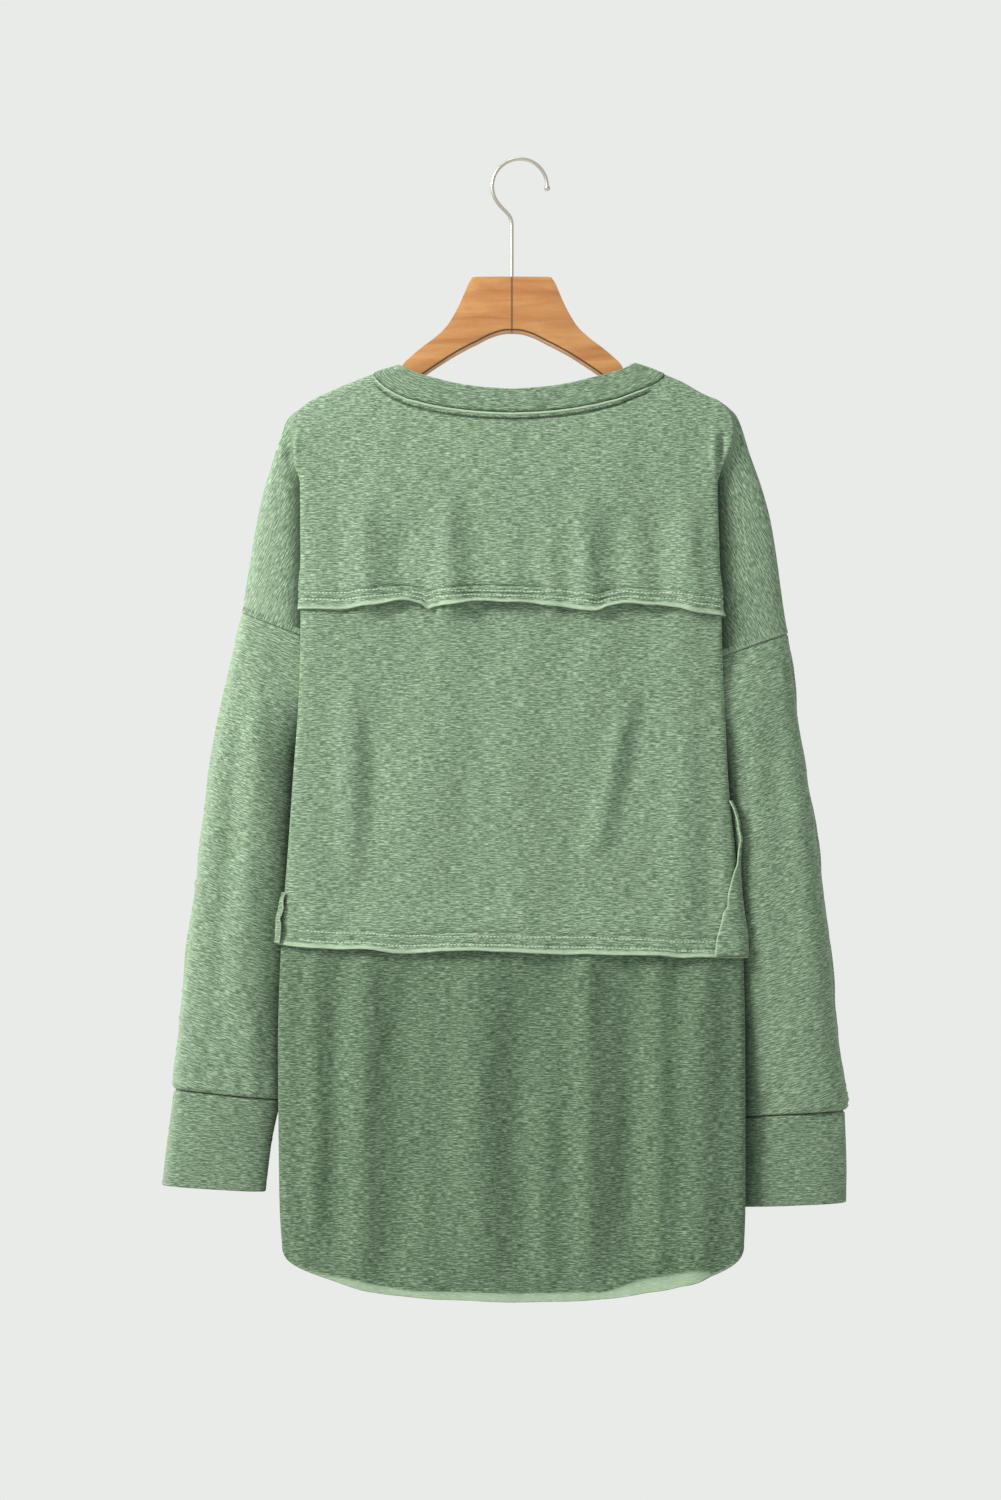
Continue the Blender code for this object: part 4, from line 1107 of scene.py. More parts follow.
@dataclass(frozen=True)
class HeatherKnit:
    """Heathered jersey, knitted from melange cotton yarn and lightly brushed.

    The eye sees soft uneven streaks along the stitch rows, no gloss, and a faint sheen where
    the cloth turns away. Light and shade are also painted in through the pale attribute.
    """

    name: str
    dark: str
    middle: str
    light: str
    # edge is a painted highlight colour and shade a painted shade colour: the pale attribute mixes in
    # edge above 0 and shade below 0.
    edge: str = "#97A992"
    shade: str = "#1E2E20"
    # A dyed fibre shows for 4 to 13 mm along a row. The rows are 0.5 mm apart, which is too fine
    # to show, so the streaks are drawn 0.66 and 0.95 mm thick.
    streak: tuple[float, float] = (0.0046, 0.00066)
    drift: tuple[float, float] = (0.0125, 0.00095)
    # Single stitches are about 0.6 mm across.
    grain: float = 0.0006
    details: tuple[float, float, float] = (3.0, 2.0, 2.0)
    noise_roughness: float = 0.6
    drift_share: float = 0.60
    grain_share: float = 0.30
    scaled: float = 0.5
    stops: tuple[float, float, float] = (0.395, 0.475, 0.555)
    relief: float = 0.45
    relief_depth: float = 0.0005
    roughness: float = 0.92
    specular: float = 0.15
    sheen: float = 0.14
    sheen_roughness: float = 0.4
    sheen_tint: str = "#E6F2E0"

    def make(self) -> bpy.types.Material:
        """The finish as a material.

        Returns:
            The material.
        """
        material, shader = blank_material(self.name)
        thread = add_node(material, "ShaderNodeUVMap", {"uv_map": "thread"}, {})
        layers = []
        sizes = (self.streak, self.drift, (self.grain, self.grain))
        for size, detail in zip(sizes, self.details):
            scale = (1 / size[0], 1 / size[1], 1.0)
            mapping = add_node(material, "ShaderNodeMapping", {"[Scale]": scale}, {0: thread.outputs[0]})
            noise = add_node(
                material,
                "ShaderNodeTexNoise",
                {"[Scale]": 1.0, "[Detail]": detail, "[Roughness]": self.noise_roughness},
                {"Vector": mapping.outputs[0]},
            )
            layers.append(noise.outputs["Fac"])
        blend = add_node(
            material, "ShaderNodeMath",
            {"operation": "MULTIPLY_ADD", 1: self.drift_share}, {0: layers[1], 2: layers[0]},
        )
        mixed = add_node(
            material, "ShaderNodeMath",
            {"operation": "MULTIPLY_ADD", 1: self.grain_share}, {0: layers[2], 2: blend.outputs[0]},
        )
        scaled = add_node(
            material, "ShaderNodeMath", {"operation": "MULTIPLY", 1: self.scaled}, {0: mixed.outputs[0]}
        )
        ramp = add_node(material, "ShaderNodeValToRGB", {}, {0: scaled.outputs[0]})
        colours = (srgb(self.dark), srgb(self.middle), srgb(self.light))
        fill_ramp(ramp, tuple(zip(self.stops, colours)))
        # Painted light: the pale attribute mixes in the painted highlight colour above 0 and the painted
        # shade colour below 0.
        pale = add_node(material, "ShaderNodeAttribute", {"attribute_name": "pale"}, {})
        colour = add_node(
            material, "ShaderNodeMix",
            {"data_type": "RGBA", 7: srgb(self.edge)}, {0: pale.outputs["Fac"], 6: ramp.outputs[0]},
        )
        deep = add_node(
            material, "ShaderNodeMath", {"operation": "MULTIPLY", 1: -1.0}, {0: pale.outputs["Fac"]}
        )
        shaded = add_node(
            material, "ShaderNodeMix",
            {"data_type": "RGBA", 7: srgb(self.shade)}, {0: deep.outputs[0], 6: colour.outputs[2]},
        )
        relief = add_node(
            material, "ShaderNodeBump",
            {"[Strength]": self.relief, "[Distance]": self.relief_depth}, {"Height": mixed.outputs[0]},
        )
        tree = material.node_tree
        tree.links.new(shaded.outputs[2], shader.inputs["Base Color"])
        tree.links.new(relief.outputs[0], shader.inputs["Normal"])
        shader.inputs["Roughness"].default_value = self.roughness
        shader.inputs["Specular IOR Level"].default_value = self.specular
        shader.inputs["Sheen Weight"].default_value = self.sheen
        shader.inputs["Sheen Roughness"].default_value = self.sheen_roughness
        shader.inputs["Sheen Tint"].default_value = srgb(self.sheen_tint)
        return material


@dataclass(frozen=True)
class SewingThread:
    """Spun polyester sewing thread, twisted from two strands: matt, and mottled by its turns."""

    name: str
    colour: str
    roughness: float = 0.6
    # The real turns are 0.3 mm apart, too fine to show, so they are drawn 1.1 mm apart.
    turns: float = 900.0
    dim: float = 0.7
    stops: tuple[float, float] = (0.35, 0.65)

    def make(self) -> bpy.types.Material:
        """The finish as a material, with the faint turns of its strands.

        Returns:
            The material.
        """
        material, shader = blank_material(self.name)
        place = add_node(material, "ShaderNodeTexCoord", {}, {})
        twist = add_node(
            material, "ShaderNodeTexNoise",
            {"[Scale]": self.turns, "[Detail]": 1.0}, {"Vector": place.outputs["Object"]},
        )
        ramp = add_node(material, "ShaderNodeValToRGB", {}, {0: twist.outputs["Fac"]})
        base = srgb(self.colour)
        dim = tuple(self.dim * c for c in base[:3]) + (1.0,)
        fill_ramp(ramp, tuple(zip(self.stops, (dim, base))))
        material.node_tree.links.new(ramp.outputs[0], shader.inputs["Base Color"])
        shader.inputs["Roughness"].default_value = self.roughness
        return material


@dataclass(frozen=True)
class LacqueredBeech:
    """Steamed beech, planed and sprayed with clear satin lacquer.

    The eye sees slow bands along the arms, fine dark flecks, a soft gloss and the glued joint.
    """

    name: str
    light: str = "#A67843"
    dark: str = "#8F5A2A"
    fleck: str = "#6E4520"
    joint: str = "#4A2E15"
    joint_half: float = 0.0004
    joint_share: float = 0.85
    # Growth rings stand about 11 mm apart where the plank cuts them, and six times that along it.
    band: float = 0.011
    band_along: float = 0.16
    band_detail: float = 4.0
    band_wander: float = 0.8
    band_stops: tuple[float, float] = (0.30, 0.66)
    # Beech flecks are 3 to 4 mm long and 0.3 mm thick, and are drawn 0.7 mm thick to show.
    fleck_scale: tuple[float, float, float] = (260.0, 1500.0, 1500.0)
    fleck_stops: tuple[float, float] = (0.60, 0.78)
    fleck_share: float = 0.35
    roughness: float = 0.42
    coat: float = 0.25
    coat_roughness: float = 0.3

    def make(self) -> bpy.types.Material:
        """The finish as a material.

        Returns:
            The material.
        """
        material, shader = blank_material(self.name)
        place = add_node(material, "ShaderNodeTexCoord", {}, {})
        grain_map = add_node(
            material,
            "ShaderNodeMapping",
            {"[Scale]": (self.band_along / self.band, 1.0 / self.band, 1.0 / self.band)},
            {0: place.outputs["Object"]},
        )
        bands = add_node(
            material,
            "ShaderNodeTexNoise",
            {"[Scale]": 1.0, "[Detail]": self.band_detail, "[Distortion]": self.band_wander},
            {"Vector": grain_map.outputs[0]},
        )
        fleck_map = add_node(
            material, "ShaderNodeMapping", {"[Scale]": self.fleck_scale}, {0: place.outputs["Object"]}
        )
        flecks = add_node(
            material, "ShaderNodeTexNoise",
            {"[Scale]": 1.0, "[Detail]": 1.0}, {"Vector": fleck_map.outputs[0]},
        )
        ramp = add_node(material, "ShaderNodeValToRGB", {}, {0: bands.outputs["Fac"]})
        fill_ramp(ramp, tuple(zip(self.band_stops, (srgb(self.dark), srgb(self.light)))))
        mask = add_node(material, "ShaderNodeValToRGB", {}, {0: flecks.outputs["Fac"]})
        shares = ((0.0, 0.0, 0.0, 1.0), (self.fleck_share,) * 3 + (1.0,))
        fill_ramp(mask, tuple(zip(self.fleck_stops, shares)))
        colour = add_node(
            material, "ShaderNodeMix",
            {"data_type": "RGBA", 7: srgb(self.fleck)}, {0: mask.outputs[0], 6: ramp.outputs[0]},
        )
        split = add_node(material, "ShaderNodeSeparateXYZ", {}, {0: place.outputs["Object"]})
        middle = add_node(
            material, "ShaderNodeMath", {"operation": "ADD", 1: HOOK_REACH}, {0: split.outputs[0]}
        )
        off = add_node(material, "ShaderNodeMath", {"operation": "ABSOLUTE"}, {0: middle.outputs[0]})
        line = add_node(
            material,
            "ShaderNodeMapRange",
            {1: self.joint_half, 2: 3 * self.joint_half, 3: self.joint_share, 4: 0.0},
            {0: off.outputs[0]},
        )
        jointed = add_node(
            material, "ShaderNodeMix",
            {"data_type": "RGBA", 7: srgb(self.joint)}, {0: line.outputs[0], 6: colour.outputs[2]},
        )
        material.node_tree.links.new(jointed.outputs[2], shader.inputs["Base Color"])
        shader.inputs["Roughness"].default_value = self.roughness
        shader.inputs["Coat Weight"].default_value = self.coat
        shader.inputs["Coat Roughness"].default_value = self.coat_roughness
        return material


@dataclass(frozen=True)
class BrushedNickel:
    """Nickel-plated steel wire, drawn and lightly brushed: a soft bright line down its side."""

    name: str
    colour: str = "#B9B4AB"
    roughness: float = 0.28
    # Brush marks are 0.1 mm apart, too fine to show, so they are drawn 1.4 mm apart.
    marks: float = 700.0
    marks_detail: float = 2.0
    smoother: float = 0.08
    rougher: float = 0.12

    def make(self) -> bpy.types.Material:
        """The finish as a material, with roughness that varies along the wire.

        Returns:
            The material.
        """
        material, shader = blank_material(self.name)
        place = add_node(material, "ShaderNodeTexCoord", {}, {})
        marks = add_node(
            material, "ShaderNodeTexNoise",
            {"[Scale]": self.marks, "[Detail]": self.marks_detail}, {"Vector": place.outputs["Object"]},
        )
        rough = add_node(
            material,
            "ShaderNodeMapRange",
            {3: self.roughness - self.smoother, 4: self.roughness + self.rougher},
            {0: marks.outputs["Fac"]},
        )
        material.node_tree.links.new(rough.outputs[0], shader.inputs["Roughness"])
        shader.inputs["Base Color"].default_value = srgb(self.colour)
        shader.inputs["Metallic"].default_value = 1.0
        return material


@dataclass(frozen=True)
class StudioPaint:
    """Matt pale paint, rolled on a studio floor: even, with no gloss."""

    name: str = "pale_studio_floor"
    colour: str = "#E9EAE8"
    roughness: float = 0.9

    def make(self) -> bpy.types.Material:
        """The finish as a material.

        Returns:
            The material.
        """
        material, shader = blank_material(self.name)
        shader.inputs["Base Color"].default_value = srgb(self.colour)
        shader.inputs["Roughness"].default_value = self.roughness
        return material


class Wardrobe:
    """The finishes, each made once."""

    def __init__(self) -> None:
        """Make every finish of the top and its hanger."""
        self.jersey = HeatherKnit("heather_jersey_knit", "#435840", "#607660", "#93A38D").make()
        # A darker copy of the same jersey for the lower tiers: painted shade for the less light they get.
        self.lower = HeatherKnit("heather_jersey_lower", "#324532", "#4D614C", "#7A8B76").make()
        self.rib = HeatherKnit("heather_band_knit", "#3F533E", "#5B6F59", "#889985").make()
        self.thread = SewingThread("green_sewing_thread", "#B9C7B2").make()
        self.dark_thread = SewingThread("dark_green_sewing_thread", "#2E3F2F").make()
        self.beech = LacqueredBeech("lacquered_beech").make()
        # Painted shade for the groove: a dark strip as finely mottled as a thread.
        self.groove = SewingThread("dark_groove_liner", "#3E3318", 0.8).make()
        self.nickel = BrushedNickel("brushed_nickel_wire").make()


def dress(
    piece: bpy.types.Object, finish: bpy.types.Material, nodes: tuple[str, ...] = ()
) -> None:
    """Give a finished piece its material and its body, and hide the CAD nodes it stands for.

    Args:
        piece: the piece, in the row's frame.
        finish: its material.
        nodes: the CAD nodes that it stands for.
    """
    piece.data.materials.clear()
    piece.data.materials.append(finish)
    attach(piece, BODY)
    if nodes:
        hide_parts(*nodes)
    LOG.info("%s: %d faces", piece.name, len(piece.data.polygons))


def dressed(
    name: str, mesh: bpy.types.Mesh, finish: bpy.types.Material, nodes: tuple[str, ...] = ()
) -> bpy.types.Object:
    """Place a finished mesh on the top.

    Args:
        name: the piece's name.
        mesh: its mesh, in the row's frame.
        finish: its material.
        nodes: the CAD nodes that it stands for.

    Returns:
        The new object.
    """
    piece = bpy.data.objects.new(name, mesh)
    bpy.context.scene.collection.objects.link(piece)
    dress(piece, finish, nodes)
    return piece


@dataclass(frozen=True)
class NeckSeam:
    """The flat seam below the neckband: a strip with a raised edge and a stitched trough."""

    ridge_at: float = 0.0013
    ridge_half: float = 0.0009
    ridge_high: float = 0.0014
    strip_end: float = 0.0046
    strip_fade: float = 0.0008
    strip_high: float = 0.0006
    trough_at: float = 0.0055
    trough_half: float = 0.0009
    trough_deep: float = 0.0010
    end_fade: float = 0.004
    # A painted highlight on the raised edge and painted shade in the stitched trough.
    pale_half: float = 0.0008
    pale_share: float = 0.9
    shade_share: float = 0.75

    def relief(self, run: np.ndarray) -> np.ndarray:
        """How far the seam stands up, by the distance down the cloth.

        Args:
            run: the distance down the cloth.

        Returns:
            The distances.
        """
        ridge = self.ridge_high * bump(run, self.ridge_at, self.ridge_half)
        edge = ridge + self.strip_high * ease((self.strip_end - run) / self.strip_fade)
        return edge - self.trough_deep * bump(run, self.trough_at, self.trough_half)

    def tint(self, run: np.ndarray) -> np.ndarray:
        """A painted highlight on the raised edge and, below 0, painted shade in the trough, by the
        distance down the cloth.
        """
        pale = self.pale_share * bump(run, self.ridge_at, self.pale_half)
        return pale - self.shade_share * bump(run, self.trough_at, self.trough_half)

    def inside(self, x: np.ndarray) -> np.ndarray:
        """1 inside the neck and 0 past its ends."""
        return ease((FORM.neck_half - np.abs(x)) / self.end_fade)


NECK_SEAM = NeckSeam()


@dataclass
class BodyPanel:
    """A panel of the body, laid on the garment's form with its own folds, rolls and seams."""

    name: str
    node: str
    cut: tuple[float, float]
    finish: bpy.types.Material
    face: Face
    places: np.ndarray
    steps: np.ndarray
    top: Across
    bottom: Across
    folds: tuple
    edges: tuple = ()
    edge_rows: Across | None = None
    lift_from: float = 2.0
    lift_rows: float = 0.085
    lift: float = 0.0020
    lift_full: float = 0.62
    lift_fade: float = 1.5
    rim_share: float = 0.28
    roll_length: float = 0.0
    roll_z: float = -0.65
    roll_turn: float = 2.5
    roll_fade: float = 2.5
    roll_least: float = 0.25
    least_turn: float = 0.02
    whole_turn: float = 1.2
    settle_over: float = 0.03
    flare: tuple = ()
    grooves: tuple[float, ...] = ()
    neck_strip: bool = False
    dents: tuple = ()
    # crown, rims, rim_fade, end_share and end_places paint highlights on the shoulder line and its ends,
    # stronger on the left where the key light falls; the tuck values paint shade in the tuck beside each
    # ridge.
    crown: float = 0.0060
    rims: tuple[float, float] = (0.38, 0.15)
    rim_fade: float = 0.010
    end_share: float = 0.6
    end_places: float = 2.6
    tuck_shade: float = 0.80
    tuck_reach: float = 0.015
    tuck_z: float = -0.226
    tuck_over: float = 0.05
    tuck_place: float = 7.2
    tuck_fade: float = 0.8
    folds_to: float = 0.85
    neck_fade: float = 0.10
    groove_from: float = 6.5
    groove_half: float = 0.0010
    groove_deep: float = 0.0006
    # pale_turn and pale_most paint a highlight on the raw edges where they roll out.
    pale_turn: tuple[float, float] = (0.04, 0.22)
    pale_most: float = 0.55
    wall: float = 0.0012
    grain_turn: float = math.radians(62)
    grid: ClothGrid | None = None

    def lift_at(self, places: np.ndarray, below: np.ndarray) -> np.ndarray:
        """How far the cloth stands off what lies under it, near its raw edge.

        Args:
            places: places across the body.
            below: how many rows below the raw edge each point lies.

        Returns:
            The distances.
        """
        curl = track_of(self.edges, "x", "curl")(FORM.x_at(places, self.edges[0].z))
        reach = ease((1.0 + below / self.lift_rows) / self.lift_full)
        rim = ease(1.0 + below / (self.rim_share * self.lift_rows))
        share = ease((FORM.near(places) - self.lift_from) / self.lift_fade)
        return share * (self.lift * reach + curl * rim)

    def roll(self, points: np.ndarray, normals: np.ndarray) -> tuple[np.ndarray, np.ndarray]:
        """Turn the last of the cloth outwards, as a cut jersey edge does.

        Args:
            points: the panel's points.
            normals: the way it faces.

        Returns:
            The rolled points, and how far round each point has turned, 0 to 1.
        """
        run = arc_lengths(points, 1)
        off = run[:, -1:] - run
        held = np.clip(self.places, FORM.RIDGE, FORM.LAST - FORM.RIDGE)
        x = FORM.x_at(held, self.roll_z)
        if self.flare:
            length = track_of(self.flare, "x", "length")(x)[:, None]
            turn = track_of(self.flare, "x", "turn")(x)[:, None]
        else:
            share = track_of(self.edges, "x", "roll")(x)[:, None]
            fade = ease((FORM.near(self.places)[:, None] - FORM.VALLEY) / self.roll_fade)
            length = np.full_like(share, self.roll_length)
            turn = self.roll_turn * share * lerp(self.roll_least, 1.0, fade)
        turn = np.maximum(turn, self.least_turn)
        radius = length / turn
        angle = np.clip((length - off) / radius, 0.0, None)
        drop_kept = np.where(turn > math.pi / 2, radius, radius * np.sin(np.minimum(turn, math.pi / 2)))
        down = np.gradient(points, axis=1)
        down = down / np.maximum(np.linalg.norm(down, axis=-1, keepdims=True), NO_LENGTH)
        inside = np.maximum(length - off, 0.0)
        shift = radius * np.sin(angle) - inside
        out = radius * (1 - np.cos(angle))
        settle = length - drop_kept
        slide = settle * ease(1.0 - (off - length) / self.settle_over)
        moved = points + down * (shift + slide)[..., None] + normals * out[..., None]
        share_in = np.clip(inside / length, 0, 1)
        return moved, share_in * np.clip(turn / self.whole_turn, 0, 1)

    def make(self) -> ClothGrid:
        """The panel as a grid of cloth.

        Returns:
            The grid.
        """
        top = self.top(self.places)[:, None]
        bottom = self.bottom(self.places)[:, None]
        rows = lerp(top, bottom, self.steps[None, :])
        points = FORM.lay(self.places, rows, self.face)
        x, z = points[..., 0].copy(), points[..., 2].copy()
        share = np.abs(self.places - FORM.MIDDLE)[:, None] / FORM.TENTHS
        inside = 1 - ease((share - self.folds_to) / (1 - self.folds_to))
        push = sum((fold.push(x, z) for fold in self.folds), np.zeros_like(x))
        fade = ease((rows - top) / self.neck_fade)
        points[..., 1] += FORM.half_gap + inside * push * lerp(1.0, fade, float(self.neck_strip))
        normals = self.square_on(surface_normals(points))
        if self.edges:
            below = rows - self.edge_rows(self.places)[:, None]
            points = points + normals * self.lift_at(self.places[:, None], below)[..., None]
        run = arc_lengths(points, 1)
        for dent in self.dents:
            points = points + normals * dent.push(x, z)[..., None]
        if self.neck_strip:
            seam = NECK_SEAM.relief(run) * NECK_SEAM.inside(x)
            points = points + normals * seam[..., None]
        ends = ease(FORM.near(self.places)[:, None] - self.groove_from)
        for off in self.grooves:
            line = bump(run[:, -1:] - run, off, self.groove_half)
            points = points - normals * (self.groove_deep * line * ends)[..., None]
        turned = np.zeros_like(x)
        if self.roll_length or self.flare:
            points, turned = self.roll(points, self.square_on(surface_normals(points)))
        across = arc_lengths(points, 0)
        across = across - across[len(self.places) // 2]
        sign = np.where(self.places < FORM.MIDDLE, -1.0, 1.0)[:, None]
        turn = -sign * self.grain_turn
        tip_x, tip_z = x - sign * FORM.tip_x, z - FORM.tip_z
        turned_u = tip_x * np.cos(turn) + tip_z * np.sin(turn)
        turned_v = -tip_x * np.sin(turn) + tip_z * np.cos(turn)
        mix = ease((FORM.near(self.places)[:, None] - FORM.VALLEY) / (FORM.BEHIND - FORM.VALLEY))
        thread = np.stack((lerp(turned_u, across, mix), lerp(turned_v, z, mix)), -1)
        points[..., 1] *= self.face.value
        nap = self.nap(x, z, run)
        if self.face is Face.BACK:
            points, thread, turned, nap = points[::-1], thread[::-1], turned[::-1], nap[::-1]
        mid = points - surface_normals(points) * self.wall / 2
        # Painted light: a painted highlight on the rolled raw edges, and elsewhere the painted highlights
        # and shade of the shoulders and tucks.
        first, over = self.pale_turn
        pale = ease((turned - first) / over) * self.pale_most + np.where(turned > 0, 0.0, nap)
        self.grid = ClothGrid(mid, thread, pale, self.wall, round_end=bool(self.edges or self.flare))
        return self.grid

    def nap(self, x: np.ndarray, z: np.ndarray, run: np.ndarray) -> np.ndarray:
        """Painted light and shade: painted highlights on the shoulders, their ends and the neck seam's
        raised edge, painted shade in its trough and in the tuck beside each ridge.

        Args:
            x: how far across each point lies.
            z: its height.
            run: its distance down the cloth.

        Returns:
            Shares of the edge shade, 0 to 1.
        """
        near = FORM.near(self.places)[:, None]
        ridge_x = np.where(x < 0, FORM.ridge[Side.LEFT](z), FORM.ridge[Side.RIGHT](z))
        # Painted shade in the tuck beside each ridge.
        tuck = ease(1 - (np.abs(x) - ridge_x) / self.tuck_reach)
        tuck = tuck * ease((self.tuck_z - z) / self.tuck_over)
        shade = -self.tuck_shade * tuck * ease((self.tuck_place - near) / self.tuck_fade)
        if not self.neck_strip:
            return shade
        # Painted highlight, stronger on the left, the side the key light comes from.
        strength = np.where(x < 0, *self.rims)
        out = ease((np.abs(x) - FORM.neck_half - NECK_SEAM.end_fade) / self.rim_fade)
        crown = out * ease(1 - run / self.crown)
        end = self.end_share * ease((self.end_places - near) / self.end_places)
        return strength * np.maximum(crown, end) + NECK_SEAM.tint(run) * NECK_SEAM.inside(x) + shade

    def square_on(self, normals: np.ndarray) -> np.ndarray:
        """Normals with those on the shoulder line and the outer lines kept in the middle plane.

        Args:
            normals: the way the cloth faces.

        Returns:
            The normals, evened.
        """
        normals = normals.copy()
        for column in (0, -1):
            if FORM.near(self.places)[column] < 0:
                normals[column, :, 1] = 0.0
        on_crest = self.top(self.places) <= 1e-9
        normals[on_crest, 0, 1] = 0.0
        return normals / np.maximum(np.linalg.norm(normals, axis=-1, keepdims=True), NO_LENGTH)


@dataclass(frozen=True)
class Flare:
    """How the curved hem turns outwards at a place: over what length and how far, in radians."""

    x: float
    length: float
    turn: float


HEM_FLARE = (
    Flare(-0.190, 0.004, 0.10),
    Flare(-0.150, 0.006, 0.40),
    Flare(-0.125, 0.009, 0.95),
    Flare(-0.105, 0.0080, 1.05),
    Flare(-0.086, 0.0065, 0.80),
    Flare(-0.060, 0.0085, 1.20),
    Flare(0.000, 0.0095, 1.30),
    Flare(0.050, 0.0095, 1.20),
    Flare(0.074, 0.0070, 0.85),
    Flare(0.084, 0.0090, 1.00),
    Flare(0.098, 0.014, 1.25),
    Flare(0.120, 0.016, 1.35),
    Flare(0.144, 0.015, 1.35),
    Flare(0.158, 0.009, 0.80),
    Flare(0.166, 0.004, 0.30),
    Flare(0.190, 0.003, 0.20),
)

FRONT_FLARE = (
    Flare(-0.190, 0.005, 0.20),
    Flare(-0.080, 0.009, 1.00),
    Flare(0.000, 0.010, 1.15),
    Flare(0.090, 0.009, 0.95),
    Flare(0.190, 0.005, 0.20),
)


SIDES_TO = 8.6


def spread_places(start: float, fine: float, side_fine: float) -> np.ndarray:
    """Places across the body, finer over the tucked sides than across the back.

    Args:
        start: the first place.
        fine: the spacing across the body.
        side_fine: the spacing over the tucked side.

    Returns:
        The places, from the left to the right.
    """
    sides = np.arange(start, SIDES_TO, side_fine)
    body = np.linspace(SIDES_TO, FORM.MIDDLE, math.ceil((FORM.MIDDLE - SIDES_TO) / fine) + 1)
    half = np.concatenate((sides, body))
    return np.concatenate((half, (2 * FORM.MIDDLE - half[:-1])[::-1]))


